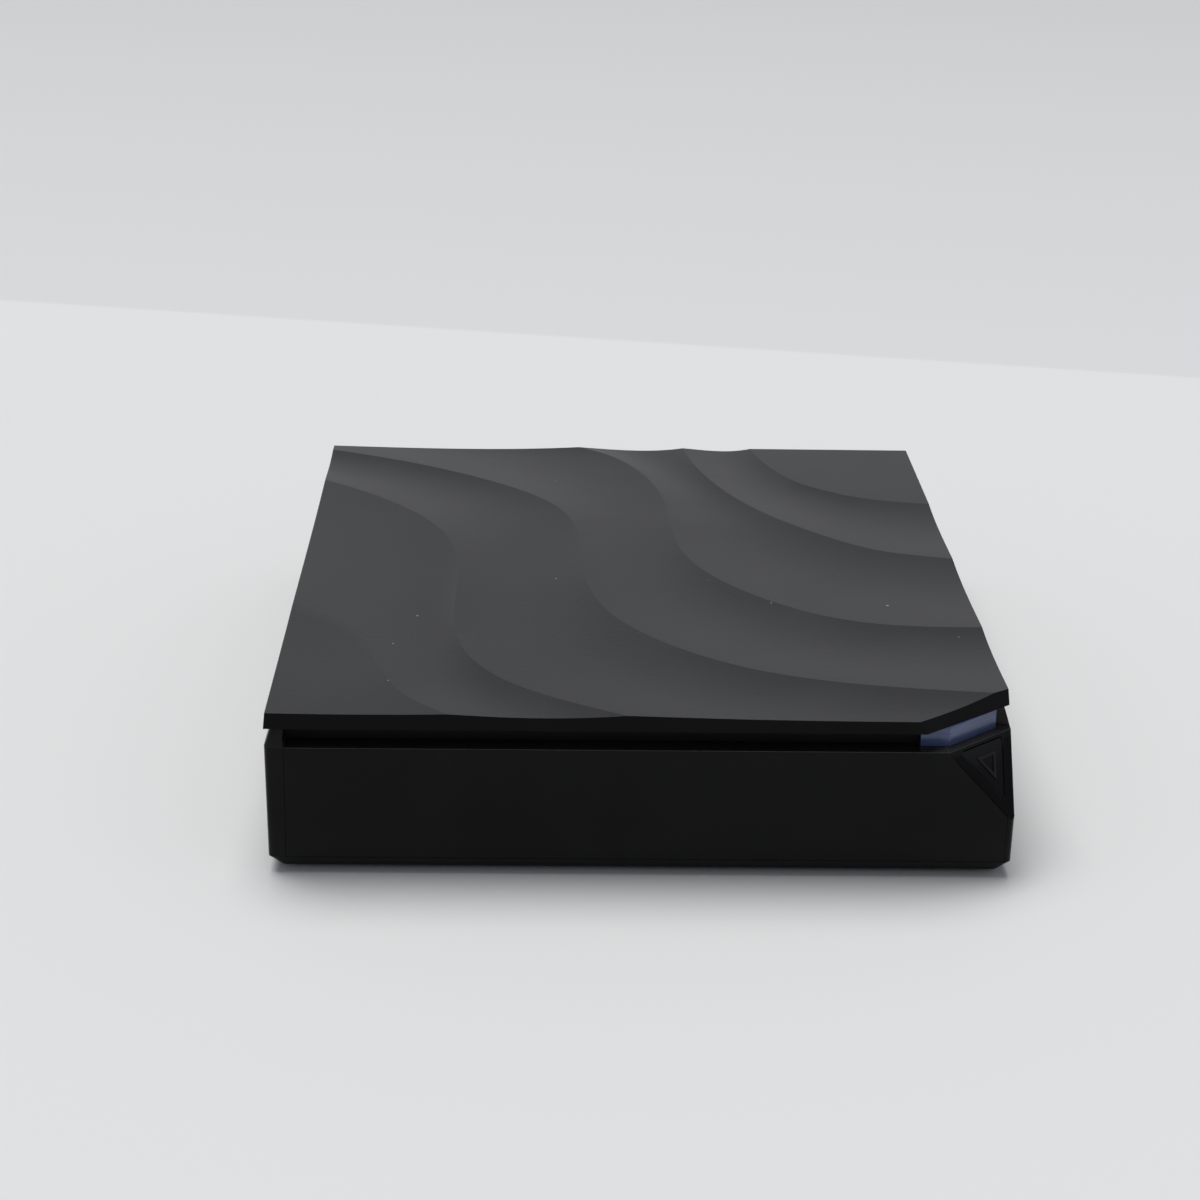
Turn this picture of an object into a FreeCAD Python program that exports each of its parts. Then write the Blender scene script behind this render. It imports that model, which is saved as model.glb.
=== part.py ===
import FreeCAD
import Part
import math
import os

from FreeCAD import Placement, Rotation, Vector

# Media player with a pull-out hard drive tray.
# Millimetres.  +Z is up and z = 0 is the surface it stands on.  The origin is below the
# middle of the case.  The tray pulls out towards -Y, the player's own front faces +X, its
# rear sockets face -X and its side sockets face +Y.

# ---------------------------------------------------------------- case form
body_width = 158.7         # along X at the belt, the widest line of the case
body_depth = 198.7         # along Y at the belt
belt_height = 27.8         # belt above the underside of the case
draft_deg = 0.9            # moulding draft below the belt
edge_bevel_in = 2.2        # bevel along the bottom edge, inwards
edge_bevel_up = 2.65       # the same bevel, upwards
rim_height = 4.2           # from the belt up to the cover
rim_lean = 1.35            # how far the rim leans in over its height
corner_radius = 1.5
wall = 2.0
floor_thickness = 2.0
base_lip = 1.7             # lip of the walls round the base plate
foot_height = 1.0
foot_size = 12.0           # square feet, at the standing surface
foot_taper = 0.5           # wider by this much on each side at the top
foot_inset = (19.4, 15.4)  # feet from the sides and from the ends
vent_count = 12
vent_size = (2.4, 34.0)
vent_pitch = 6.0

# ---------------------------------------------------------------- cover
cover_inset = 0.35         # top face of the cover in from the belt, all round
cover_thickness = 3.5
cover_flare = 0.32         # side faces run out by this much towards the bottom
cover_cut = (6.5, 3.75)    # cut corner of the cover past the facet's ends, at the top face
cover_cut_lower = (4.6, 3.15)  # and at the bottom face
wave_depth = 0.85          # valleys of the wave relief below its ridges
wave_fall = 0.70           # share of the depth that shapes the slow fall after a ridge
wave_rise = 1.85           # share of the depth that shapes the quick rise to the next
skirt_height = 2.4         # locating skirt inside the rim
skirt_thickness = 1.5
skirt_gap = 0.2
clip_length = 9.0          # hooks on the skirt that hold the cover in the rim
clip_height = 1.2
clip_reach = 0.8
clip_gap = 0.15
clips_long_side = (-40.0, 15.0, 65.0)  # places of the hooks along Y
clips_short_side = (-50.0, 0.0, 50.0)  # and along X, at the end away from the tray

# Ridge lines of the wave relief seen from above, from the near left to the far right.
# Each is a smooth curve through nine points, run out past the edges of the cover.  They are
# drawn for a cover of ridge_span and stretch with the cover.
ridge_span = (158.0, 198.0)
ridge_lines = [
    [(-126, -38), (-107, -61.5), (-94.5, -75), (-87, -92), (-80.5, -112), (-71, -125),
     (-48, -146), (-3, -163), (68, -169)],
    [(-98, -10), (-79, -33.5), (-66.5, -47), (-59, -64), (-52.5, -84), (-43, -97),
     (-20, -118), (25, -135), (96, -141)],
    [(-96, 79), (-66, 54), (-46, 22), (-41.5, -15), (-40.8, -50), (-30, -78),
     (-5, -98), (35, -115), (96, -121)],
    [(-96, 101), (-59.7, 84.3), (-28, 59.5), (-14, 33), (-11.8, 0), (-6, -35),
     (13.7, -62.8), (45, -79.0), (96, -91)],
    [(-26, 106), (-4.7, 93), (7, 68), (10.6, 42), (12.3, 13), (22, -13.5),
     (42, -35.3), (66, -43), (96, -42)],
    [(16, 112), (18, 92), (22, 73), (28, 55.5), (36, 40), (46, 26.3),
     (57, 14.8), (70.3, 8), (96, 2)],
    [(34, 112), (37, 92), (41.5, 77.5), (47, 67), (54, 60), (60.3, 55.5),
     (68.7, 52.2), (79, 50), (96, 47)],
]
flat_reach = 90.0          # the flat field past the last ridge

# ---------------------------------------------------------------- corner facet and window
facet_x = 15.3             # length of the facet's top edge along X, back from the corner
facet_y = 14.05            # and along Y
facet_drop = 16.3          # its lower tip below the belt
ledge_width = 2.4          # level ledge between the facet and the light window
window_set_back = 3.85     # window behind the front face
window_lead = 5.45         # straight part of the window before the facet starts
window_end_inset = 3.25    # right end of the window from the widest line
window_thickness = 1.4
window_end_step = 0.6      # the rim's front end behind the window's end
button_inset_top = 0.9     # button edge inside the facet's edges
button_inset_sides = 2.8
button_gap = 0.25
button_sunk = 0.1
button_depth = 2.6
button_corner = 0.5
button_travel = 0.7
stem_radius = 2.0
stem_end = 6.4             # depth of the stem's end below the facet
plunger_radius = 1.4
plunger_length = 2.6
plunger_gap = 0.08
switch_size = 6.2
switch_height = 3.6
switch_clearance = 0.5     # switch behind the stem when it is pushed in
switch_board_size = (13.0, 10.0, 1.2)
mark_size = 6.2            # raised triangular mark on the button
mark_line = 0.65
mark_height = 0.2
rib_thickness = 1.6        # ribs that carry the switch board
rib_reach = 4.5
rib_width = 2.0
led_board_drop = 1.6       # top of the corner board below the belt
led_board_thickness = 1.2
led_board_start = 1.0      # behind the window's inner face
led_board_length = 11.2
led_board_reach = (-7.0, 6.0)
led_post_radius = 2.0
led_post_inset = 2.0
led_post_reach = 4.0
led_size = (3.0, 1.6, 2.4)
led_places = (-4.6, -0.2)
ir_size = (3.6, 2.6, 4.6)
ir_place = 3.8
ir_lens_radius = 1.3

# ---------------------------------------------------------------- tray
finger_depth = 5.75        # finger gap and tray seat behind the front face
front_left_margin = 4.45   # left end of the tray front from the widest line
front_right_margin = 2.15  # and its right end
finger_margin = 0.5        # finger gap past the tray front's left end
front_seam = 0.3           # gap round the tray front
front_thickness = 2.75
front_flange = 1.6
front_deep_margin = 0.6    # the deep part of the seat ends before the window
drive_width = 69.85        # 2.5 inch drive
drive_length = 100.2
drive_holes = (61.72, 76.6)  # its underside screw pattern
drive_holes_back = 14.0    # rear screw row from the connector end
drive_screw_radius = 1.6
drive_side_gap = 0.475
drive_front_gap = 2.1      # from the seat's back wall to the drive
carrier_front_gap = 1.7    # carrier behind the tray front
carrier_floor = 1.5
carrier_wall = 1.6
carrier_wall_height = 8.0
carrier_front_height = 16.5
carrier_clearance = 3.5    # carrier above the floor
carrier_window = (13.0, 19.0)  # lightening windows in its floor
carrier_window_pitch = (19.5, 30.0)
carrier_window_count = (3, 3)
carrier_window_front = 42.0    # middle of the first row behind the carrier's front
runner_size = 2.0
runner_lift = 0.4          # runners above the carrier's floor
runner_tail = 37.0         # runners behind the drive
slide_gap = 0.2
guide_wall = 2.0
guide_lip = 1.7
guide_foot = 7.0
guide_foot_thickness = 1.5
guide_end_gap = 1.0
guide_screw_inset = 9.6
guide_screw_count = 3
mouth_gap = 0.6
mouth_height = 18.1
tray_travel = 112.0
tray_boss_radius = 3.0
tray_boss_reach = 28.0     # screw bosses either side of the middle
tray_boss_heights = (5.0, 13.5)  # above the carrier's underside
notch_behind = 59.35       # detent notch in the runner behind the case's front face
notch_length = 5.0
notch_depth = 0.9
spring_thickness = 0.35
spring_length = 23.0
spring_bend = 6.0
spring_edge_gap = 0.5
spring_window = 18.0       # window in the guide for the detent spring
spring_nose_gap = 0.3      # nose of the spring clear of a runner

# ---------------------------------------------------------------- boards
board_thickness = 1.6
board_edge_gap = 1.3       # board from the walls
board_drive_gap = 1.35     # board behind the upright drive board
board_past_guide = 11.75   # board past the foot of the right guide
board_end = 4.55           # board past the power inlet
board_lift = 9.5           # underside of the main board above the floor
post_radius = 3.0
post_inset_front = 6.0
post_inset_back = 6.2
posts_left = (7.85, 3.85)  # front and back posts past the guides' feet
posts_right = (5.75, 7.75)
pilot_radius = 1.1
pilot_depth = 6.0
pilot_depth_floor = 1.2    # in the floor, under the guides
screw_hole_radius = 1.35
drive_board_gap = 6.3      # upright board behind the drive
drive_board_half = 24.0
drive_board_rise = 6.0
sata_size = (34.0, 5.0)
sata_gap = 0.4             # connector behind the drive
sata_lift = 1.0
sata_slot = (30.0, 4.0, 1.3)     # wide, deep, high
sata_slot_lift = 1.4
sata_key = (1.3, 1.3)      # upright end of the slot
processor_size = (23.0, 23.0)
processor_height = 1.6
sink_card_gap = 5.45       # heat sink beside the card slot
sink_wifi_gap = 6.5        # beside the wireless module
sink_front_gap = 18.0      # from the board's front edge
sink_usb_gap = 4.47        # in front of the data ports
sink_base = 2.0
sink_height = 10.0
fin_count = 11
fin_thickness = 1.2
memory_size = (11.0, 8.0)
memory_height = 1.1
memory_sink_gap = 4.5
memory_wifi_gap = 4.5
memory_row_gap = 4.0
capacitor_radius = 3.2
capacitor_height = 7.5
capacitor_places = [(26.0, 16.0), (34.0, 16.0)]  # from the board's left front corner
inductor_size = (6.8, 6.8)
inductor_height = 3.2
inductor_places = [(32.0, 8.0), (42.0, 8.0)]  # from the same corner
inductor_right_place = (8.0, 16.0)  # from the board's right front corner
wifi_size = (15.0, 13.0)
wifi_height = 2.3
wifi_edge_gap = 8.5        # module from the board's right edge
wifi_usb_gap = 2.97        # in front of the data ports
antenna_size = (0.5, 34.0, 7.0)
antenna_lift = 16.0        # above the floor
antenna_places = (-23.0, 57.0)

# ---------------------------------------------------------------- sockets
socket_recess = 0.7        # socket mouths behind the case's outer face
socket_gap = 0.3           # cut-out round a socket
socket_wall = 0.5
rear_end_gap = 3.55        # network jack from the board's back edge
rear_gaps = (3.5, 3.1, 3.1, 3.5)   # between the rear sockets, from the network jack on
side_end_gap = 8.35        # first data port from the board's right edge
side_gaps = (5.8, 3.8)     # between the data ports
card_end_gap = 29.55       # card slot from the board's left edge
dc_size = (14.0, 9.0, 10.8)        # deep, wide, high
dc_bore = 3.1
dc_bore_depth = 9.5
dc_pin = 1.0
dc_pin_back = 0.8
dc_axis = 5.8              # above the board
av_size = (12.0, 7.0, 6.4)
av_bore = 1.8
av_nose = 3.0
av_nose_length = 2.4
av_axis = 3.2
optical_size = (13.5, 9.8, 10.0)
optical_wall = 0.9
optical_depth = 9.8
shutter_size = (0.8, 7.6, 7.6)
shutter_set_back = 0.6
shutter_gap = 0.3
shutter_pin = 0.35
shutter_pin_gap = 0.06
shutter_pin_reach = 0.3
hdmi_size = (11.5, 15.0, 6.2)
hdmi_bevel = 2.0
hdmi_tongue = (9.3, 11.0, 1.2)
hdmi_tongue_back = 1.2
hdmi_tongue_lift = 2.9
ethernet_size = (21.0, 16.0, 13.4)
ethernet_mouth = (14.0, 11.9, 8.2)
ethernet_mouth_lift = 3.6
ethernet_latch = (9.0, 6.4, 2.5)
ethernet_latch_lift = 1.2
contact_count = 8
contact_pitch = 1.27
contact_size = (9.0, 0.5, 0.9)
contact_back = 3.0
usb_size = (14.0, 13.2, 6.6)
usb_wall = 0.7
usb_tongue = (12.0, 10.0, 1.9)
usb_tongue_drop = 3.1      # underside of the tongue below the top of the shell
card_size = (26.0, 27.0, 3.0)
card_mouth = (24.0, 24.4, 2.2)

# ---------------------------------------------------------------- worked out
half_x = body_width / 2
half_y = body_depth / 2
lean = math.tan(math.radians(draft_deg))
base_z = foot_height
bevel_z = base_z + edge_bevel_up
belt_z = base_z + belt_height
seat_z = belt_z + rim_height
top_z = seat_z + cover_thickness
floor_z = base_z + floor_thickness
front_y = -half_y
seat_y = front_y + finger_depth
front_left = front_left_margin - half_x
front_right = half_x - front_right_margin
window_left = half_x - facet_x - window_lead
window_right = half_x - window_end_inset
front_deep_right = window_left - front_deep_margin
past = 1.0                 # cutting bodies run past the faces that they cut
far = 120.0                # and this far past the case


def box(x0, x1, y0, y1, z0, z1):
    """Box between two corners."""
    return Part.makeBox(x1 - x0, y1 - y0, z1 - z0, Vector(x0, y0, z0))


def block(x, y, size, z0, height):
    """Upright block round a place seen from above."""
    return box(x - size[0] / 2, x + size[0] / 2, y - size[1] / 2, y + size[1] / 2, z0, z0 + height)


def rod(radius, start, direction, length):
    """Cylinder from a point along a direction."""
    return Part.makeCylinder(radius, length, Vector(*start), Vector(*direction))


def octagon(radius, start, direction, length):
    """Eight-sided post or hole from a point along a direction, its flats at the radius."""
    reach = radius / math.cos(math.pi / 8)
    turns = [math.pi * (i + 0.5) / 4 for i in range(9)]
    ring = [Vector(reach * math.cos(t), reach * math.sin(t), 0) for t in turns]
    solid = Part.Face(Part.makePolygon(ring)).extrude(Vector(0, 0, length))
    solid.Placement = Placement(Vector(*start), Rotation(Vector(0, 0, 1), Vector(*direction)))
    return solid


def prism(corners, sweep):
    """Prism on a flat outline."""
    return Part.Face(Part.makePolygon(corners + corners[:1])).extrude(sweep)


def prism_xy(points, z0, z1):
    """Prism on an outline seen from above."""
    return prism([Vector(x, y, z0) for x, y in points], Vector(0, 0, z1 - z0))


def prism_xz(points, y0, y1):
    """Prism on an outline seen from the tray side."""
    return prism([Vector(x, y0, z) for x, z in points], Vector(0, y1 - y0, 0))


def prism_yz(points, x0, x1):
    """Prism on an outline seen from the socket side."""
    return prism([Vector(x0, y, z) for y, z in points], Vector(x1 - x0, 0, 0))


def joined(shapes):
    """One solid from several that touch or overlap."""
    return shapes[0].multiFuse(shapes[1:]).removeSplitter()


def cut_all(shape, tools):
    """A shape less several others."""
    for tool in tools:
        shape = shape.cut(tool)
    return shape


def group(shapes):
    """Separate solids kept in one node."""
    return Part.makeCompound(shapes)


def spread(count, pitch):
    """Places of an evenly spaced row round zero."""
    return [(i - (count - 1) / 2) * pitch for i in range(count)]


# ---------------------------------------------------------------- case form

def outer_half(z):
    """Half width and half depth of the case's outside at a height."""
    if z <= bevel_z:
        inset = (belt_z - bevel_z) * lean + edge_bevel_in * (bevel_z - z) / edge_bevel_up
    elif z <= belt_z:
        inset = (belt_z - z) * lean
    else:
        inset = rim_lean * (z - belt_z) / rim_height
    return half_x - inset, half_y - inset


def round_rect(hx, hy, radius, z):
    """Wire of a rectangle with round corners, or with sharp ones without a radius."""
    if radius <= 0:
        corners = [Vector(hx, -hy, z), Vector(hx, hy, z), Vector(-hx, hy, z), Vector(-hx, -hy, z)]
        return Part.makePolygon(corners + corners[:1])
    bulge = radius * (1 - math.sqrt(0.5))
    arcs = []
    for sx, sy in ((1, -1), (1, 1), (-1, 1), (-1, -1)):
        ends = [Vector(sx * (hx - radius), sy * hy, z), Vector(sx * hx, sy * (hy - radius), z)]
        if sx * sy > 0:
            ends.reverse()
        middle = Vector(sx * (hx - bulge), sy * (hy - bulge), z)
        arcs.append(Part.Arc(ends[0], middle, ends[1]).toShape())
    loop = []
    for arc, following in zip(arcs, arcs[1:] + arcs[:1]):
        loop.append(arc)
        loop.append(Part.makeLine(arc.Vertexes[-1].Point, following.Vertexes[0].Point))
    return Part.Wire(loop)


def shell_form(heights, inset):
    """Solid through the case's sections, taken in by a wall."""
    wires = []
    for z in heights:
        hx, hy = outer_half(min(z, seat_z))
        wires.append(round_rect(hx - inset, hy - inset, corner_radius - inset, z))
    return Part.makeLoft(wires, True, True)


# The facet is a flat triangle that cuts the corner between the front, the side and the belt.
facet_a = Vector(half_x - facet_x, front_y, belt_z)
facet_b = Vector(half_x, front_y + facet_y, belt_z)
facet_c = Vector(half_x - facet_drop * lean, front_y + facet_drop * lean, belt_z - facet_drop)
facet_out = (facet_c - facet_a).cross(facet_b - facet_a).normalize()
facet_in = facet_out * -1
facet_along = (facet_b - facet_a).normalize()
facet_up = facet_along.cross(facet_out)
facet_mid = (facet_a + facet_b + facet_c) * (1 / 3)
facet_top_mid = (facet_a + facet_b) * 0.5
facet_slope = facet_drop / (facet_c.x - facet_a.x)
inward = Vector(facet_in.x, facet_in.y, 0).normalize()


def facet_frame(depth):
    """Placement with Z along the facet's inward normal and X along its top edge."""
    turn = Rotation(facet_along, facet_in.cross(facet_along), facet_in, "ZXY")
    return Placement(facet_mid + facet_in * depth, turn)


def facet_point(depth):
    """Point below the middle of the facet."""
    return tuple(facet_mid + facet_in * depth)


def facet_block(size, depth, height):
    """Block square to the facet, centred on it and starting at a depth."""
    solid = Part.makeBox(size[0], size[1], height, Vector(-size[0] / 2, -size[1] / 2, 0))
    solid.Placement = facet_frame(depth)
    return solid


def facet_flat(point):
    """A point of the facet in its own flat frame."""
    local = facet_frame(0).inverse().multVec(point)
    return local.x, local.y


def line_meet(p, d, q, e):
    """Where two flat lines, each a point and a direction, meet."""
    det = d[0] * e[1] - d[1] * e[0]
    t = ((q[0] - p[0]) * e[1] - (q[1] - p[1]) * e[0]) / det
    return p[0] + d[0] * t, p[1] + d[1] * t


def inset_triangle(corners, insets):
    """Triangle whose sides are moved in, side i running from corner i to corner i + 1."""
    cx = sum(p[0] for p in corners) / 3
    cy = sum(p[1] for p in corners) / 3
    sides = []
    for p, q, inset in zip(corners, corners[1:] + corners[:1], insets):
        length = math.dist(p, q)
        d = ((q[0] - p[0]) / length, (q[1] - p[1]) / length)
        n = (-d[1], d[0])
        if (cx - p[0]) * n[0] + (cy - p[1]) * n[1] < 0:
            n = (d[1], -d[0])
        sides.append(((p[0] + n[0] * inset, p[1] + n[1] * inset), d))
    return [line_meet(*sides[i - 1], *sides[i]) for i in range(3)]


def triangle_prism(corners, depth, length, radius):
    """Prism on a flat triangle in the facet's frame, its upright edges rounded."""
    solid = prism([Vector(x, y, 0) for x, y in corners], Vector(0, 0, length))
    if radius > 0:
        upright = [e for e in solid.Edges if abs(e.tangentAt(e.FirstParameter).z) > 0.99]
        solid = solid.makeFillet(radius, upright)
    solid.Placement = facet_frame(depth)
    return solid


facet_corners = [facet_flat(p) for p in (facet_a, facet_b, facet_c)]
button_corners = inset_triangle(
    facet_corners, (button_inset_top, button_inset_sides, button_inset_sides))

# The light window follows the gap and then runs beside the facet's top edge.
window_front = front_y + window_set_back
window_back = window_front + window_thickness
window_left_in = window_left + window_thickness
window_foot = facet_a + inward * ledge_width
window_turn = line_meet((0, window_front), (1, 0), window_foot, facet_along)
window_end = line_meet((window_right, 0), (0, 1), window_turn, facet_along)
inner_start = (window_turn[0] + inward.x * window_thickness,
               window_turn[1] + inward.y * window_thickness)
inner_turn = line_meet((0, window_back), (1, 0), inner_start, facet_along)
inner_end = (window_end[0] + inward.x * window_thickness,
             window_end[1] + inward.y * window_thickness)
cheek_y = window_end[1] + window_end_step
gap_back = seat_y + wall   # inner face of the wall behind the finger gap


def edge_line_z(x):
    """Height of the facet's lower left edge on the front face."""
    return belt_z - facet_slope * (x - facet_a.x)


def front_outline(gap, side_gap):
    """Outline of the tray front, or of its seat, seen from the front."""
    left = front_left - side_gap
    right = front_right + side_gap
    low = bevel_z + front_seam - side_gap
    drop = gap * math.hypot(1, facet_slope)
    return [(left, low), (right, low), (right, edge_line_z(right) - drop),
            (facet_a.x - drop / facet_slope, belt_z), (left, belt_z)]


def housing():
    """Glossy case: walls, leaning rim, tray seat, button corner and socket cut-outs."""
    deep = front_deep_right + front_seam
    shallow_y = front_y + front_thickness + front_seam
    rise = wall * math.hypot(1, facet_slope)
    over_seat = [(0, 0), (far, 0), (far, edge_line_z(far) + rise),
                 (facet_a.x, belt_z + rise), (0, belt_z + rise)]
    behind_gap = [(-far, front_y - far), (-far, gap_back), (window_left_in, gap_back),
                  (window_left_in, window_back), inner_turn, inner_end,
                  (inner_end[0], cheek_y + wall), (far, cheek_y + wall), (far, front_y - far)]
    kept = [box(-far, deep + wall, front_y - far, gap_back, 0, belt_z),
            prism_xz(over_seat, front_y - far, shallow_y + wall).common(
                box(0, far, front_y - far, 0, 0, belt_z)),
            facet_block((far, far), wall - far, far),
            prism_xy(behind_gap, belt_z - wall, seat_z + far)]
    room = cut_all(shell_form([floor_z, belt_z, seat_z + past], wall), kept)
    solid = shell_form([base_z, bevel_z, belt_z, seat_z], 0).cut(room)
    below_belt = box(-far, far, front_y - far, 0, 0, belt_z)
    finger_gap = [(front_left - finger_margin, front_y - far), (front_left - finger_margin, seat_y),
                  (window_left, seat_y), (window_left, window_front), window_turn, window_end,
                  (window_end[0], cheek_y), (far, cheek_y), (far, front_y - far)]
    solid = cut_all(solid, [
        facet_block((far, far), -far, far).common(below_belt),
        prism_xy(finger_gap, belt_z, seat_z + far),
        prism_xz(front_outline(0, front_seam), front_y - far, shallow_y),
        box(front_left - front_seam, deep, front_y - far, seat_y, bevel_z, belt_z),
        tray_mouth(), button_hole(), light_window(), base_form(past)])
    clips = [cover_clip(*place, clip_gap) for place in clip_places]
    return cut_all(solid, socket_holes() + clips)


def base_form(deeper):
    """Block of the base plate, inside the lip of the walls."""
    hx, hy = outer_half(floor_z)
    reach = wall + base_lip
    return box(reach - hx, hx - reach, gap_back, hy - reach, base_z - deeper, floor_z)


def base_plate():
    """Floor of the case, set flush into the walls, with the posts and ribs on it."""
    return cut_all(joined([base_form(0)] + inner_supports()), floor_holes())


def tray_mouth():
    """Opening that the carrier and the drive pass through."""
    half = runner_outer_x + mouth_gap
    low = carrier_z - mouth_gap
    return box(-half, half, seat_y - past, gap_back + past, low, low + mouth_height)


def button_hole():
    """Three-cornered hole that the button slides in."""
    grown = inset_triangle(button_corners, (-button_gap,) * 3)
    return triangle_prism(grown, -past, button_depth + wall + past, button_corner + button_gap)


def inner_supports():
    """Posts and ribs moulded on the floor."""
    parts = [octagon(post_radius, (x, y, floor_z), (0, 0, 1), board_z - floor_z)
             for x, y in post_places]
    parts += [octagon(led_post_radius, (x, y, floor_z), (0, 0, 1), led_board_z - floor_z)
              for x, y in led_post_places]
    return parts + [switch_rib(side) for side in (-1, 1)]


def floor_holes():
    """Pilot holes of the screws and the vents below the heat sink."""
    tools = [octagon(pilot_radius, (x, y, board_z - pilot_depth), (0, 0, 1), pilot_depth + past)
             for x, y in post_places]
    tools += [octagon(pilot_radius, (x, y, led_board_z - pilot_depth), (0, 0, 1), pilot_depth + past)
              for x, y in led_post_places]
    tools += [octagon(pilot_radius, (side * x, y, floor_z - pilot_depth_floor), (0, 0, 1),
                      pilot_depth_floor + past) for x, y in guide_screw_places for side in (-1, 1)]
    tools += [block(processor_x + i, processor_y, vent_size, base_z - past,
                    floor_thickness + 2 * past) for i in spread(vent_count, vent_pitch)]
    return tools


def rubber_foot(x, y):
    """Square foot with sloping sides."""
    wires = []
    for z, half in ((0, foot_size / 2), (base_z, foot_size / 2 + foot_taper)):
        corners = [Vector(x + i * half, y + j * half, z)
                   for i, j in ((-1, -1), (1, -1), (1, 1), (-1, 1))]
        wires.append(Part.makePolygon(corners + corners[:1]))
    return Part.makeLoft(wires, True, True)


def rubber_feet():
    """Four feet under the floor."""
    return group([rubber_foot(sx * (half_x - foot_inset[0]), sy * (half_y - foot_inset[1]))
                  for sx in (-1, 1) for sy in (-1, 1)])


# ---------------------------------------------------------------- corner electronics
led_board_top = belt_z - led_board_drop
led_board_z = led_board_top - led_board_thickness
led_near = ledge_width + window_thickness + led_board_start
led_far = led_near + led_board_length
led_depth = led_near + led_size[1]
ir_depth = led_near + ir_size[1]
switch_top = stem_end + button_sunk + button_travel + switch_clearance
switch_back = switch_top + switch_height
switch_board_back = switch_back + switch_board_size[2]


def corner_point(along, depth):
    """Point beside the facet: along its top edge and inwards from it, seen from above."""
    p = facet_top_mid + facet_along * along + inward * depth
    return p.x, p.y


def corner_block(left, right, near, distant, z0, height):
    """Upright block on the corner board, square to the facet's edge."""
    outline = [corner_point(left, near), corner_point(right, near),
               corner_point(right, distant), corner_point(left, distant)]
    return prism_xy(outline, z0, z0 + height)


led_post_places = [corner_point(side * led_post_reach, led_far - led_post_inset)
                   for side in (-1, 1)]


def switch_rib(side):
    """Upright rib with a slanted edge that carries the switch board."""
    half = switch_board_size[1] / 2
    back = facet_mid + facet_in * switch_board_back
    low = back - facet_up * half
    high = back + facet_up * half
    tail = high + inward * rib_width
    corners = [low, high, tail, Vector(tail.x, tail.y, floor_z), Vector(low.x, low.y, floor_z)]
    shift = facet_along * (side * rib_reach - rib_thickness / 2)
    return prism([p + shift for p in corners], facet_along * rib_thickness)


def light_window():
    """Translucent strip that closes the gap at the corner."""
    outline = [(window_left, gap_back), (window_left, window_front), window_turn, window_end,
               inner_end, inner_turn, (window_left_in, window_back), (window_left_in, gap_back)]
    return prism_xy(outline, belt_z, seat_z)


def power_button():
    """Three-cornered button with its stem and a raised triangular mark."""
    cap = triangle_prism(button_corners, button_sunk, button_depth - button_sunk, button_corner)
    stem = rod(stem_radius, facet_point(button_depth), facet_in, stem_end - button_depth)
    centre = [sum(p[i] for p in button_corners) / 3 for i in (0, 1)]
    size = mark_size / math.dist(button_corners[0], button_corners[1])
    outer = [(centre[0] + (p[0] - centre[0]) * size, centre[1] + (p[1] - centre[1]) * size)
             for p in button_corners]
    inner = inset_triangle(outer, (mark_line,) * 3)
    mark = triangle_prism(outer, button_sunk - mark_height, mark_height, 0)
    hollow = triangle_prism(inner, button_sunk - mark_height, mark_height, 0)
    return joined([cap, stem, mark.cut(hollow)])


def switch_plunger():
    """Plunger of the switch, pushed by the button's stem."""
    return rod(plunger_radius, facet_point(stem_end), facet_in, plunger_length)


def power_switch():
    """Push switch on its slanted board."""
    body = facet_block((switch_size, switch_size), switch_top, switch_height)
    bore = rod(plunger_radius + plunger_gap, facet_point(stem_end), facet_in,
               plunger_length + button_travel + plunger_gap)
    return body.cut(bore)


def led_board():
    """Level board behind the light window."""
    left, right = led_board_reach
    board = corner_block(left, right, led_near, led_far, led_board_z, led_board_thickness)
    return cut_all(board, [
        octagon(screw_hole_radius, (x, y, led_board_z - past), (0, 0, 1),
                led_board_thickness + 2 * past) for x, y in led_post_places])


def status_leds():
    """Two indicator lamps behind the window."""
    half = led_size[0] / 2
    return group([corner_block(a - half, a + half, led_near + led_size[1] / 2,
                               led_depth + led_size[1] / 2, led_board_top, led_size[2])
                  for a in led_places])


def ir_receiver():
    """Remote control receiver: a block with a half-round lens towards the window."""
    half = ir_size[0] / 2
    near = ir_depth - ir_size[1] / 2
    body = corner_block(ir_place - half, ir_place + half, near, ir_depth + ir_size[1] / 2,
                        led_board_top, ir_size[2])
    return joined([body, rod(ir_lens_radius, (*corner_point(ir_place, near), led_board_top),
                             (0, 0, 1), ir_size[2])])


# ---------------------------------------------------------------- cover

def ridge_curve(points):
    """Smooth curve through one ridge line."""
    across = 2 * (half_x - cover_inset) / ridge_span[0]
    along = 2 * (half_y - cover_inset) / ridge_span[1]
    curve = Part.BSplineCurve()
    curve.interpolate(Points=[Vector(x * across, y * along, top_z) for x, y in points],
                      Parameters=[float(i) for i in range(len(points))])
    return curve


def wave_band(near, distant, depth):
    """Valley surface between two ridge curves."""
    fall = Vector(0, 0, -depth * wave_fall)
    rise = Vector(0, 0, -depth * wave_rise)
    rows = []
    for a, b in zip(near.getPoles(), distant.getPoles()):
        step = (b - a) * (1 / 3)
        rows.append([a, a + step + fall, a + step * 2 + rise, b])
    surface = Part.BSplineSurface()
    surface.buildFromPolesMultsKnots(rows, near.getMultiplicities(), [4, 4], near.getKnots(),
                                     [0.0, 1.0], False, False, 3, 3)
    return surface.toShape()


def wave_block():
    """Solid whose top is the wave relief, larger than the cover."""
    curves = [ridge_curve(points) for points in ridge_lines]
    last = [(x + flat_reach, y + flat_reach) for x, y in ridge_lines[-1]]
    bands = [wave_band(a, b, wave_depth) for a, b in zip(curves, curves[1:])]
    bands.append(wave_band(curves[-1], ridge_curve(last), 0.0))
    return joined([band.extrude(Vector(0, 0, -cover_thickness - past)) for band in bands])


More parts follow.
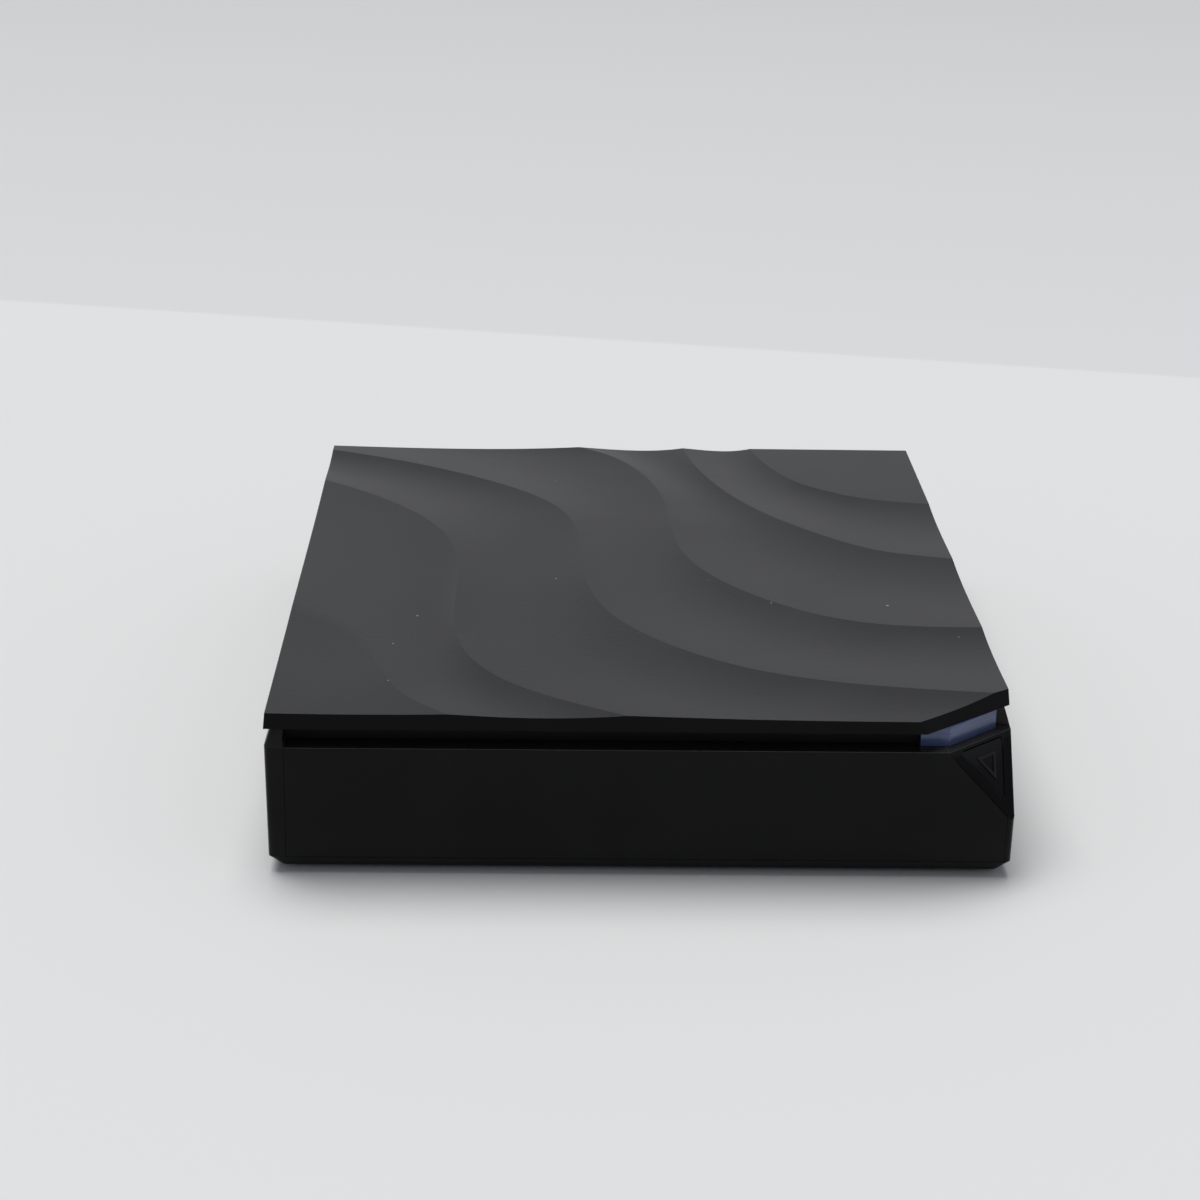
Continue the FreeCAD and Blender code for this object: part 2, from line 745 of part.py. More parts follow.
def cover_outline(z):
    """Corners of the cover's outline at a height."""
    down = (top_z - z) / cover_thickness
    hx = half_x - cover_inset + cover_flare * down
    hy = half_y - cover_inset + cover_flare * down
    cut_x, cut_y = [size + top + (low - top) * down for size, top, low
                    in zip((facet_x, facet_y), cover_cut, cover_cut_lower)]
    return [Vector(-hx, -hy, z), Vector(hx - cut_x, -hy, z), Vector(hx, cut_y - hy, z),
            Vector(hx, hy, z), Vector(-hx, hy, z)]


# Each hook is a number of quarter turns, the wall's distance and a place along the wall.
clip_places = [(0, half_x, y) for y in clips_long_side]
clip_places += [(2, half_x, -y) for y in clips_long_side]
clip_places += [(1, half_y, x) for x in clips_short_side]


def cover_clip(quarters, half, place, grow):
    """Hook on the skirt with a ramp below, or its grown pocket in the rim."""
    low = seat_z - skirt_height - grow
    high = low + clip_height + 2 * grow
    face = half - rim_lean * (high - belt_z) / rim_height - wall
    root = face - skirt_gap - skirt_thickness / 2
    tip = face + clip_reach + grow - skirt_gap
    profile = [(root, low), (face, low), (tip, (low + high) / 2), (tip, high), (root, high)]
    length = clip_length + 2 * grow
    hook = prism_xz(profile, place - length / 2, place + length / 2)
    hook.Placement = Placement(Vector(0, 0, 0), Rotation(Vector(0, 0, 1), 90 * quarters))
    return hook


def top_cover():
    """Matt cover with the wave relief and its skirt with hooks."""
    wires = []
    for z in (seat_z, top_z + past):
        corners = cover_outline(z)
        wires.append(Part.makePolygon(corners + corners[:1]))
    plate = Part.makeLoft(wires, True, True).common(wave_block())
    skirt_low = seat_z - skirt_height
    skirt_front = gap_back + skirt_gap
    skirt = shell_form([skirt_low, seat_z], wall + skirt_gap)
    skirt = skirt.cut(shell_form([skirt_low - past, seat_z + past],
                                 wall + skirt_gap + skirt_thickness))
    open_corner = prism_xy([(-far, -far), (-far, skirt_front), (front_deep_right, skirt_front),
                            corner_point(-led_far, led_far), corner_point(led_far, led_far),
                            (far, cheek_y + led_far), (far, -far)], skirt_low - past, seat_z)
    front_rib = box(wall + skirt_gap - outer_half(seat_z)[0] + past, front_deep_right - skirt_thickness,
                    skirt_front, skirt_front + skirt_thickness, skirt_low, seat_z)
    hooks = [cover_clip(*place, 0.0) for place in clip_places]
    return joined([plate, skirt.cut(open_corner), front_rib] + hooks)


# ---------------------------------------------------------------- tray
carrier_z = floor_z + carrier_clearance
carrier_inner_x = drive_width / 2 + drive_side_gap
carrier_outer_x = carrier_inner_x + carrier_wall
runner_outer_x = carrier_outer_x + runner_size
drive_z = carrier_z + carrier_floor
drive_front = seat_y + drive_front_gap
drive_back = drive_front + drive_length
carrier_front = front_y + front_thickness + carrier_front_gap
runner_z = drive_z + runner_lift
runner_top = runner_z + runner_size
runner_back = drive_back + runner_tail
notch_y = front_y + notch_behind
tray_screw_places = [(sx * tray_boss_reach, carrier_z + h) for sx in (-1, 1)
                     for h in tray_boss_heights]


def tray_front():
    """Glossy front of the tray, a flanged panel with screw bosses behind."""
    inner_y = front_y + front_thickness
    panel = prism_xz(front_outline(front_seam, 0), front_y - far, inner_y).common(
        shell_form([base_z, bevel_z, belt_z], 0))
    low = bevel_z + front_seam
    right = front_deep_right - front_seam
    rim = box(front_left, right, inner_y, seat_y - front_seam, low, belt_z)
    room = box(front_left + front_flange, right - front_flange, inner_y, seat_y,
               low + front_flange, belt_z - front_flange)
    bosses = [octagon(tray_boss_radius, (x, inner_y, z), (0, 1, 0), carrier_front - inner_y)
              for x, z in tray_screw_places]
    solid = joined([panel, rim.cut(room)] + bosses)
    return cut_all(solid, [octagon(pilot_radius, (x, inner_y - pilot_depth_floor, z), (0, 1, 0),
                                   front_thickness + carrier_front_gap)
                           for x, z in tray_screw_places])


def tray_carrier():
    """Open carrier that holds the drive and slides in the guides."""
    parts = [box(-carrier_outer_x, carrier_outer_x, carrier_front, drive_back, carrier_z, drive_z),
             box(-carrier_outer_x, carrier_outer_x, carrier_front, carrier_front + carrier_wall,
                 carrier_z, carrier_z + carrier_front_height)]
    for side in (-1, 1):
        xs = sorted((side * carrier_inner_x, side * carrier_outer_x))
        parts.append(box(*xs, carrier_front, drive_back, carrier_z, drive_z + carrier_wall_height))
        parts.append(box(*xs, drive_back, runner_back, carrier_z, runner_top))
        xs = sorted((side * carrier_outer_x, side * runner_outer_x))
        parts.append(box(*xs, gap_back, runner_back, runner_z, runner_top))
    tools = []
    first_row = drive_back - drive_holes_back
    for x in (-drive_holes[0] / 2, drive_holes[0] / 2):
        for y in (first_row, first_row - drive_holes[1]):
            tools.append(rod(drive_screw_radius, (x, y, carrier_z - past), (0, 0, 1),
                             carrier_floor + 2 * past))
    rows = carrier_window_count[1]
    middle = carrier_front + carrier_window_front + carrier_window_pitch[1] * (rows - 1) / 2 - \
        carrier_window_pitch[1] / 2
    for x in spread(carrier_window_count[0], carrier_window_pitch[0]):
        for y in spread(rows, carrier_window_pitch[1]):
            tools.append(block(x, middle + y, carrier_window, carrier_z - past,
                               carrier_floor + 2 * past))
    for x, z in tray_screw_places:
        tools.append(octagon(screw_hole_radius, (x, carrier_front - past, z), (0, 1, 0),
                             carrier_wall + 2 * past))
    for side in (-1, 1):
        edge = side * (runner_outer_x + past - notch_depth)
        tools.append(block(edge, notch_y, (2 * past, notch_length), runner_z - past,
                           runner_size + 2 * past))
    return cut_all(joined(parts), tools)


guide_inner_x = runner_outer_x + slide_gap
guide_outer_x = guide_inner_x + guide_wall
guide_lip_x = carrier_outer_x + slide_gap
guide_back = runner_back + guide_end_gap
guide_low = runner_z - slide_gap
guide_high = runner_top + slide_gap
guide_length = guide_back - gap_back
guide_screw_pitch = (guide_length - 2 * guide_screw_inset) / (guide_screw_count - 1)
guide_screw_places = [(guide_outer_x + guide_foot / 2, (gap_back + guide_back) / 2 + y)
                      for y in spread(guide_screw_count, guide_screw_pitch)]


def tray_guide(side):
    """Channel that a runner slides in, with a screwed foot."""
    foot_x = guide_outer_x + guide_foot
    foot_z = floor_z + guide_foot_thickness
    profile = [(foot_x, floor_z), (foot_x, foot_z), (guide_outer_x, foot_z),
               (guide_outer_x, guide_high + guide_lip), (guide_lip_x, guide_high + guide_lip),
               (guide_lip_x, guide_high), (guide_inner_x, guide_high), (guide_inner_x, guide_low),
               (guide_lip_x, guide_low), (guide_lip_x, guide_low - guide_lip),
               (guide_inner_x, guide_low - guide_lip), (guide_inner_x, floor_z)]
    solid = prism_xz([(side * x, z) for x, z in profile], gap_back, guide_back)
    tools = [octagon(screw_hole_radius, (side * x, y, floor_z - past), (0, 0, 1),
                     guide_foot_thickness + 2 * past) for x, y in guide_screw_places]
    tools.append(block(side * (guide_inner_x + guide_outer_x) / 2, notch_y,
                       (2 * guide_wall, spring_window), guide_low + slide_gap, runner_size))
    return cut_all(solid, tools)


def detent_springs():
    """Leaf springs that hold the tray shut, one in each guide's window."""
    nose = guide_inner_x + spring_nose_gap
    outer = guide_outer_x
    line = [(outer, notch_y - spring_length / 2), (outer, notch_y - spring_bend), (nose, notch_y),
            (outer, notch_y + spring_bend), (outer, notch_y + spring_length / 2)]
    line += [(x + spring_thickness, y) for x, y in reversed(line)]
    return group([prism_xy([(side * x, y) for x, y in line],
                           guide_low + spring_edge_gap, guide_high - spring_edge_gap)
                  for side in (-1, 1)])


# ---------------------------------------------------------------- boards
board_z = floor_z + board_lift
board_top = board_z + board_thickness
guide_edge = guide_outer_x + guide_foot
drive_board_y = drive_back + drive_board_gap
board_left = wall + board_edge_gap - half_x
board_right = guide_edge + board_past_guide
board_back = half_y - wall - board_edge_gap
board_front = drive_board_y + board_thickness + board_drive_gap
post_ys = (board_front + post_inset_front, board_back - post_inset_back)
post_places = [(-guide_edge - x, y) for x, y in zip(posts_left, post_ys)]
post_places += [(guide_edge + x, y) for x, y in zip(posts_right, post_ys)]

# Rear sockets stand in a row along Y and side sockets along X.
rear_x = socket_recess - outer_half(board_top)[0]
side_y = outer_half(board_top)[1] - socket_recess
ethernet_y = board_back - rear_end_gap - ethernet_size[1] / 2
hdmi_y = ethernet_y - (ethernet_size[1] + hdmi_size[1]) / 2 - rear_gaps[0]
optical_y = hdmi_y - (hdmi_size[1] + optical_size[1]) / 2 - rear_gaps[1]
av_y = optical_y - (optical_size[1] + av_size[1]) / 2 - rear_gaps[2]
dc_y = av_y - (av_size[1] + dc_size[1]) / 2 - rear_gaps[3]
usb3_x = board_right - side_end_gap - usb_size[1] / 2
usb2_xs = (usb3_x - usb_size[1] - side_gaps[0], usb3_x - 2 * usb_size[1] - sum(side_gaps))
card_x = board_left + card_end_gap + card_size[1] / 2
usb_back = side_y - usb_size[0]

wifi_place = (board_right - wifi_edge_gap - wifi_size[0] / 2,
              usb_back - wifi_usb_gap - wifi_size[1] / 2)
sink_left = card_x + card_size[1] / 2 + sink_card_gap
sink_right = wifi_place[0] - wifi_size[0] / 2 - sink_wifi_gap
sink_front = board_front + sink_front_gap
sink_back = usb_back - sink_usb_gap
sink_size = (sink_right - sink_left, sink_back - sink_front)
processor_x = (sink_left + sink_right) / 2
processor_y = (sink_front + sink_back) / 2
memory_back_y = wifi_place[1] - (wifi_size[1] + memory_size[1]) / 2 - memory_wifi_gap
memory_places = [(x, memory_back_y - y) for y in (0, memory_size[1] + memory_row_gap)
                 for x in (sink_left - memory_sink_gap - memory_size[0] / 2,
                           sink_right + memory_sink_gap + memory_size[0] / 2)]


def main_board():
    """Main board on its posts, long enough to carry the row of rear sockets."""
    board = box(board_left, board_right, board_front, board_back, board_z, board_top)
    arm = box(board_left, -guide_edge, dc_y - dc_size[1] / 2 - board_end, board_back,
              board_z, board_top)
    return cut_all(joined([board, arm]), [octagon(screw_hole_radius, (x, y, board_z - past), (0, 0, 1),
                                   board_thickness + 2 * past) for x, y in post_places])


def drive_board():
    """Upright board that carries the drive connector."""
    return box(-drive_board_half, drive_board_half, drive_board_y,
               drive_board_y + board_thickness, floor_z, board_top + drive_board_rise)


def drive_connector():
    """Drive connector with its L-shaped blade slot."""
    front = drive_back + sata_gap
    half, low = sata_size[0] / 2, drive_z + sata_lift
    wide, deep, high = sata_slot
    slot_z = low + sata_slot_lift
    body = box(-half, half, front, drive_board_y, low, low + sata_size[1])
    slot = box(-wide / 2, wide / 2, front - past, front + deep, slot_z, slot_z + high)
    key = box(-wide / 2, sata_key[0] - wide / 2, front - past, front + deep, slot_z,
              slot_z + high + sata_key[1])
    return cut_all(body, [slot, key])


def board_blocks(size, height, places):
    """Flat packages on the main board."""
    return group([block(x, y, size, board_top, height) for x, y in places])


def inductors():
    """Power inductors near the board's front edge."""
    places = [(board_left + x, board_front + y) for x, y in inductor_places]
    places.append((board_right - inductor_right_place[0], board_front + inductor_right_place[1]))
    return board_blocks(inductor_size, inductor_height, places)


def heat_sink():
    """Finned heat sink on the processor."""
    z0 = board_top + processor_height
    base = block(processor_x, processor_y, sink_size, z0, sink_base)
    pitch = (sink_size[0] - fin_thickness) / (fin_count - 1)
    fins = [block(processor_x + i, processor_y, (fin_thickness, sink_size[1]), z0, sink_height)
            for i in spread(fin_count, pitch)]
    return joined([base] + fins)


def capacitors():
    """Can capacitors by the power inlet."""
    return group([rod(capacitor_radius, (board_left + x, board_front + y, board_top), (0, 0, 1),
                      capacitor_height) for x, y in capacitor_places])


def wifi_antennas():
    """Flat antennas stuck inside the long wall."""
    low = floor_z + antenna_lift
    lowest, highest = outer_half(floor_z)[0], outer_half(belt_z)[0]
    face = lowest + (highest - lowest) * antenna_lift / (belt_z - floor_z) - wall
    thick, long, high = antenna_size
    return group([box(face - thick, face, y - long / 2, y + long / 2, low, low + high)
                  for y in antenna_places])


# ---------------------------------------------------------------- sockets
optical_z = board_top + optical_wall
optical_top = board_top + optical_size[2] - optical_wall
pivot_x = rear_x + shutter_set_back + shutter_size[0] / 2
pivot_z = optical_top - shutter_gap - shutter_size[0] / 2


def rear_block(y, size):
    """Block of a rear socket."""
    deep, wide, high = size
    return box(rear_x, rear_x + deep, y - wide / 2, y + wide / 2, board_top, board_top + high)


def rear_room(y, size, lift):
    """Hollow of a rear socket, open at its mouth."""
    deep, wide, high = size
    low = board_top + lift
    return box(rear_x - past, rear_x + deep, y - wide / 2, y + wide / 2, low, low + high)


def dc_jack():
    """Power inlet with its centre pin."""
    z = board_top + dc_axis
    bore = rod(dc_bore, (rear_x - past, dc_y, z), (1, 0, 0), dc_bore_depth + past)
    pin = rod(dc_pin, (rear_x + dc_pin_back, dc_y, z), (1, 0, 0), dc_bore_depth)
    return joined([rear_block(dc_y, dc_size).cut(bore), pin])


def av_jack():
    """3.5 mm jack with a round nose."""
    deep, wide, high = av_size
    z = board_top + av_axis
    body = box(rear_x + av_nose_length, rear_x + deep, av_y - wide / 2, av_y + wide / 2,
               board_top, board_top + high)
    nose = rod(av_nose, (rear_x, av_y, z), (1, 0, 0), av_nose_length)
    bore = rod(av_bore, (rear_x - past, av_y, z), (1, 0, 0), deep + 2 * past)
    return joined([body, nose]).cut(bore)


def optical_jack():
    """Optical outlet: a square socket behind a hinged shutter."""
    half = shutter_size[1] / 2 + shutter_gap
    room = box(rear_x - past, rear_x + optical_depth, optical_y - half, optical_y + half,
               optical_z, optical_top)
    reach = half + shutter_pin_reach + shutter_pin_gap
    holes = rod(shutter_pin + shutter_pin_gap, (pivot_x, optical_y - reach, pivot_z), (0, 1, 0),
                2 * reach)
    return cut_all(rear_block(optical_y, optical_size), [room, holes])


def optical_shutter():
    """Shutter with its hinge pins."""
    thick, wide, high = shutter_size
    door = box(pivot_x - thick / 2, pivot_x + thick / 2, optical_y - wide / 2,
               optical_y + wide / 2, pivot_z - high + thick / 2, pivot_z + thick / 2)
    half = wide / 2 + shutter_gap + shutter_pin_reach
    pin = rod(shutter_pin, (pivot_x, optical_y - half, pivot_z), (0, 1, 0), 2 * half)
    return joined([door, pin])


def hdmi_outline(inset):
    """Outline of the video outlet with bevelled lower corners."""
    half = hdmi_size[1] / 2 - inset
    low = board_top + inset
    top = board_top + hdmi_size[2] - inset
    return [(hdmi_y - half + hdmi_bevel, low), (hdmi_y + half - hdmi_bevel, low),
            (hdmi_y + half, low + hdmi_bevel), (hdmi_y + half, top), (hdmi_y - half, top),
            (hdmi_y - half, low + hdmi_bevel)]


def hdmi_port():
    """Digital video outlet with its tongue."""
    back = rear_x + hdmi_size[0]
    deep, wide, high = hdmi_tongue
    shell = prism_yz(hdmi_outline(0), rear_x, back)
    room = prism_yz(hdmi_outline(socket_wall), rear_x - past, back - 2 * socket_wall)
    low = board_top + hdmi_tongue_lift
    tongue = box(rear_x + hdmi_tongue_back, rear_x + hdmi_tongue_back + deep,
                 hdmi_y - wide / 2, hdmi_y + wide / 2, low, low + high)
    return joined([shell.cut(room), tongue])


def ethernet_jack():
    """Network jack: stepped hollow with the latch channel at the bottom."""
    mouth = rear_room(ethernet_y, ethernet_mouth, ethernet_mouth_lift)
    latch = rear_room(ethernet_y, ethernet_latch, ethernet_latch_lift)
    deep, wide, high = contact_size
    start = rear_x + contact_back
    top = board_top + ethernet_mouth_lift + ethernet_mouth[2]
    contacts = [box(start, start + deep, ethernet_y + i - wide / 2, ethernet_y + i + wide / 2,
                    top - high, top) for i in spread(contact_count, contact_pitch)]
    return joined([cut_all(rear_block(ethernet_y, ethernet_size), [mouth, latch])] + contacts)


def usb_port(x):
    """Data port on the side wall."""
    deep, wide, high = usb_size
    shell = box(x - wide / 2, x + wide / 2, side_y - deep, side_y, board_top, board_top + high)
    half = wide / 2 - usb_wall
    room = box(x - half, x + half, side_y - deep + 2 * usb_wall, side_y + past,
               board_top + usb_wall, board_top + high - usb_wall)
    tongue_z = board_top + high - usb_tongue_drop
    tongue = box(x - usb_tongue[1] / 2, x + usb_tongue[1] / 2, side_y - deep + usb_wall,
                 side_y - deep + usb_wall + usb_tongue[0], tongue_z, tongue_z + usb_tongue[2])
    return joined([shell.cut(room), tongue])


def card_slot():
    """Memory card slot."""
    deep, wide, high = card_size
    mouth_deep, mouth_wide, mouth_high = card_mouth
    low = board_top + (high - mouth_high) / 2
    shell = box(card_x - wide / 2, card_x + wide / 2, side_y - deep, side_y, board_top,
                board_top + high)
    return shell.cut(box(card_x - mouth_wide / 2, card_x + mouth_wide / 2, side_y - mouth_deep,
                         side_y + past, low, low + mouth_high))


def socket_holes():
    """Cut-outs for the sockets in the rear and side walls."""
    low = board_top - socket_gap
    tools = []
    for y, size in ((dc_y, dc_size), (optical_y, optical_size), (hdmi_y, hdmi_size),
                    (ethernet_y, ethernet_size)):
        half = size[1] / 2 + socket_gap
        tools.append(box(-half_x - past, wall - half_x + av_nose_length, y - half, y + half,
                         low, board_top + size[2] + socket_gap))
    tools.append(rod(av_nose + socket_gap, (-half_x - past, av_y, board_top + av_axis), (1, 0, 0),
                     wall + av_nose_length + past))
    for x, size in [(x, usb_size) for x in (usb3_x,) + usb2_xs] + [(card_x, card_size)]:
        half = size[1] / 2 + socket_gap
        tools.append(box(x - half, x + half, half_y - wall - av_nose_length, half_y + past,
                         low, board_top + size[2] + socket_gap))
    return tools


nodes = {
    "housing": housing(),
    "base_plate": base_plate(),
    "top_cover": top_cover(),
    "light_window": light_window(),
    "power_button": power_button(),
    "switch_plunger": switch_plunger(),
    "power_switch": power_switch(),
    "switch_board": facet_block(switch_board_size, switch_back, switch_board_size[2]),
    "led_board": led_board(),
    "status_leds": status_leds(),
    "ir_receiver": ir_receiver(),
    "tray_front": tray_front(),
    "tray_carrier": tray_carrier(),
    "tray_guide_left": tray_guide(-1),
    "tray_guide_right": tray_guide(1),
    "detent_springs": detent_springs(),
    "main_board": main_board(),
    "drive_board": drive_board(),
    "drive_connector": drive_connector(),
    "processor": block(processor_x, processor_y, processor_size, board_top, processor_height),
    "heat_sink": heat_sink(),
    "memory_chips": board_blocks(memory_size, memory_height, memory_places),
    "capacitors": capacitors(),
    "inductors": inductors(),
    "wifi_module": board_blocks(wifi_size, wifi_height, [wifi_place]),
    "wifi_antennas": wifi_antennas(),
    "dc_jack": dc_jack(),
    "av_jack": av_jack(),
    "optical_jack": optical_jack(),
    "optical_shutter": optical_shutter(),
    "hdmi_port": hdmi_port(),
    "ethernet_jack": ethernet_jack(),
    "usb3_port": usb_port(usb3_x),
    "usb2_ports": group([usb_port(x) for x in usb2_xs]),
    "card_slot": card_slot(),
    "rubber_feet": rubber_feet(),
}

os.makedirs("parts", exist_ok=True)
for name, shape in nodes.items():
    if not shape.isValid():
        print("invalid solid:", name)
    shape.exportStep("parts/" + name + ".step")
    print(name, len(shape.Solids), round(shape.Volume, 1))
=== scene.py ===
"""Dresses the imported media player.

Round the solids of the part it makes the cover's relief, the finishes, the fasteners, the
contacts and the studio.
"""

import logging
import math
from dataclasses import dataclass, field
from enum import Enum

import bmesh
import bpy
import numpy as np
from bmesh.types import BMesh, BMVert
from bpy.types import Material, Mesh, Node, NodeSocket, NodeTree, Object
from mathutils import Matrix, Vector

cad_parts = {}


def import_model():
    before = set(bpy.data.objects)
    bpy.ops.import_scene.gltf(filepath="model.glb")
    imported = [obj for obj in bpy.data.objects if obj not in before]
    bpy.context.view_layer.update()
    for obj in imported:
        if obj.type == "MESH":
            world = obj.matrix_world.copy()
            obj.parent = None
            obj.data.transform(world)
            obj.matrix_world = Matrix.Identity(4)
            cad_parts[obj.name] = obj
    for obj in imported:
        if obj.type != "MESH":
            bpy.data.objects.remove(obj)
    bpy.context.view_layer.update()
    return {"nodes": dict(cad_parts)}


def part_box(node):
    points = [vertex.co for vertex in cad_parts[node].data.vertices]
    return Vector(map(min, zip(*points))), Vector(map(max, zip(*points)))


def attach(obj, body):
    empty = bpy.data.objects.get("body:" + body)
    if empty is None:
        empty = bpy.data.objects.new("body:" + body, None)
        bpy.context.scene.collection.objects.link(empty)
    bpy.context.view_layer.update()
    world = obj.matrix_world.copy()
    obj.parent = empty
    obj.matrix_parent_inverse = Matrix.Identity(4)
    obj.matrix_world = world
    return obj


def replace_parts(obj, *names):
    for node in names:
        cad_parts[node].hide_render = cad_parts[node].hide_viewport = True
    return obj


LOG = logging.getLogger("media_player")
MM = 0.001
MERGE = 0.001 * MM  # corners of loose triangles that lie closer are one
FACET_WAY = (0.577, -0.628, 0.522)  # the way that the cut corner looks
FACET_MATCH = 0.98  # cosine to that way from which on a face belongs to it
EDGE_BAND = (0.97, 0.80)  # cosines between face and rounded edge where the painted highlight starts and is full
EDGE_RISE = (0.15, 0.60)  # upward share of the rounded edge's normal, likewise; the painted highlight keeps to edges that look up, where light falls
HIGHLIGHT_SAMPLES = 6
EDGE_SAMPLES = 4
FILM_COVER = 0.03  # share of the colour that a full film of dust hides

Tone = Place = tuple[float, float, float]
Span = tuple[float, float]


class Body(Enum):
    """Bodies that the added pieces move with."""

    CASE = "case"
    TRAY = "tray"
    BUTTON = "button"


class Grain(Enum):
    """Textures of moulded and pressed parts: noise scale per metre and depth in metres."""

    SPARK = (2600.0, 0.000012)
    SATIN = (1500.0, 0.000010)
    POLISH = (160.0, 0.000004)
    ROLLED = (900.0, 0.000006)


# ---------------------------------------------------------------- node helpers


class Nodes:
    """Adds and joins the nodes of one tree."""

    def __init__(self, tree: NodeTree) -> None:
        """Keeps the tree; place is the coordinates that its textures read."""
        self.tree = tree
        self.place: NodeSocket | None = None

    def feed(self, value: object, socket: NodeSocket) -> None:
        """Sets an input to a plain value or joins it to another node's output.

        Args:
            value: the plain value or the output.
            socket: the input.
        """
        if isinstance(value, NodeSocket):
            self.tree.links.new(value, socket)
        else:
            socket.default_value = value

    def add(self, kind: str, inputs: dict | None = None, **settings: object) -> Node:
        """Adds a node, sets its properties and feeds its inputs.

        Args:
            kind: the node's type.
            inputs: plain values or outputs, by the input's name or number.
            settings: properties of the node by name.

        Returns:
            The new node.
        """
        node = self.tree.nodes.new(kind)
        for key, value in settings.items():
            setattr(node, key, value)
        for key, value in (inputs or {}).items():
            self.feed(value, node.inputs[key])
        return node

    def take(self, kind: str, out: str | int, inputs: dict | None = None,
             **settings: object) -> NodeSocket:
        """Adds a node and gives one of its outputs, by name or number; the rest is as in add."""
        return self.add(kind, inputs, **settings).outputs[out]

    def math(self, operation: str, *values: object, clamp: bool = False) -> NodeSocket:
        """A Math node on numbers or outputs, its result kept from 0 to 1 where clamp is set."""
        return self.take("ShaderNodeMath", 0, dict(enumerate(values)), operation=operation,
                         use_clamp=clamp)

    def ramp(self, value: NodeSocket, low: float, high: float,
             kind: str = "SMOOTHSTEP") -> NodeSocket:
        """A step from 0 at one value to 1 at another, smooth unless kind says otherwise."""
        return self.take("ShaderNodeMapRange", "Result", interpolation_type=kind,
                         inputs={"Value": value, "From Min": low, "From Max": high})

    def noise(self, scale: object, detail: float = 2.0,
              place: NodeSocket | None = None) -> NodeSocket:
        """Noise on the given coordinates or on the tree's own."""
        where = self.place if place is None else place
        return self.take("ShaderNodeTexNoise", "Fac",
                         {"Vector": where, "Scale": scale, "Detail": detail})

    def part(self, vector: NodeSocket, axis: str) -> NodeSocket:
        """The X, Y or Z part of a vector."""
        return self.take("ShaderNodeSeparateXYZ", axis, {"Vector": vector})

    def dot(self, vector: NodeSocket, other: object) -> NodeSocket:
        """The dot product of two vectors."""
        return self.take("ShaderNodeVectorMath", "Value", {0: vector, 1: other},
                         operation="DOT_PRODUCT")

    def mix(self, low: Tone | NodeSocket, high: Tone, mask: NodeSocket) -> NodeSocket:
        """Blends a colour into another by a mask.

        Args:
            low: colour where the mask is 0.
            high: colour where the mask is 1.
            mask: the mask.

        Returns:
            The blended colour.
        """
        below = low if isinstance(low, NodeSocket) else (*low, 1.0)
        return self.take("ShaderNodeMix", 2, {"A": below, "B": (*high, 1.0), "Factor": mask},
                         data_type="RGBA")


class Shader(Nodes):
    """A material while it is put together."""

    def __init__(self, name: str) -> None:
        """Makes the material with its Principled shader and the piece's own coordinates.

        Args:
            name: the material's name.
        """
        self.material = bpy.data.materials.new(name)
        self.material.use_nodes = True
        super().__init__(self.material.node_tree)
        self.tree.nodes.clear()
        self.surface = self.add("ShaderNodeBsdfPrincipled")
        self.add("ShaderNodeOutputMaterial", {"Surface": self.surface.outputs["BSDF"]})
        self.place = self.take("ShaderNodeTexCoord", "Object")

    def use(self, group: NodeTree, **values: float) -> Node:
        """Places a node group on the piece's own coordinates, with its inputs by name."""
        return self.add("ShaderNodeGroup", {**values, "Vector": self.place}, node_tree=group)

    def set(self, **values: object) -> None:
        """Feeds the Principled shader's own sockets by name, with underscores for spaces."""
        for key, value in values.items():
            self.feed(value, self.surface.inputs[key.replace("_", " ")])

    def rounded(self, radius: float, samples: int) -> NodeSocket:
        """The normal as it would be with the edges rounded by a radius in metres."""
        return self.take("ShaderNodeBevel", "Normal", {"Radius": radius}, samples=samples)

    def highlit_edges(self, radius: float) -> NodeSocket:
        """Mask of a painted highlight: the narrow band along sharp edges that look upwards, where
        light falls.

        Args:
            radius: width of the band in metres.

        Returns:
            The mask, 1 on the edge itself.
        """
        round_normal = self.rounded(radius, HIGHLIGHT_SAMPLES)
        turned = self.dot(round_normal, self.take("ShaderNodeNewGeometry", "Normal"))
        rise = self.ramp(self.part(round_normal, "Z"), *EDGE_RISE)
        return self.math("MULTIPLY", self.ramp(turned, *EDGE_BAND), rise)

    def facing(self, way: Place) -> NodeSocket:
        """Mask of the faces that look one way."""
        turned = self.dot(self.take("ShaderNodeNewGeometry", "Normal"), Vector(way).normalized())
        return self.math("GREATER_THAN", turned, FACET_MATCH)

    def above(self, start_mm: float, full_mm: float) -> NodeSocket:
        """Mask that rises from 0 to 1 between two heights."""
        return self.ramp(self.part(self.place, "Z"), start_mm * MM, full_mm * MM)

    def relief(self, height: NodeSocket, depth: float, edge: float) -> None:
        """Feeds a fine relief over softly rounded edges to the shader's Normal.

        Args:
            height: relief between 0 and 1.
            depth: height of the relief in metres.
            edge: radius of the rounded edges in metres.
        """
        inputs = {"Distance": depth, "Height": height}
        if edge > 0:
            inputs["Normal"] = self.rounded(edge, EDGE_SAMPLES)
        self.set(Normal=self.take("ShaderNodeBump", "Normal", inputs))


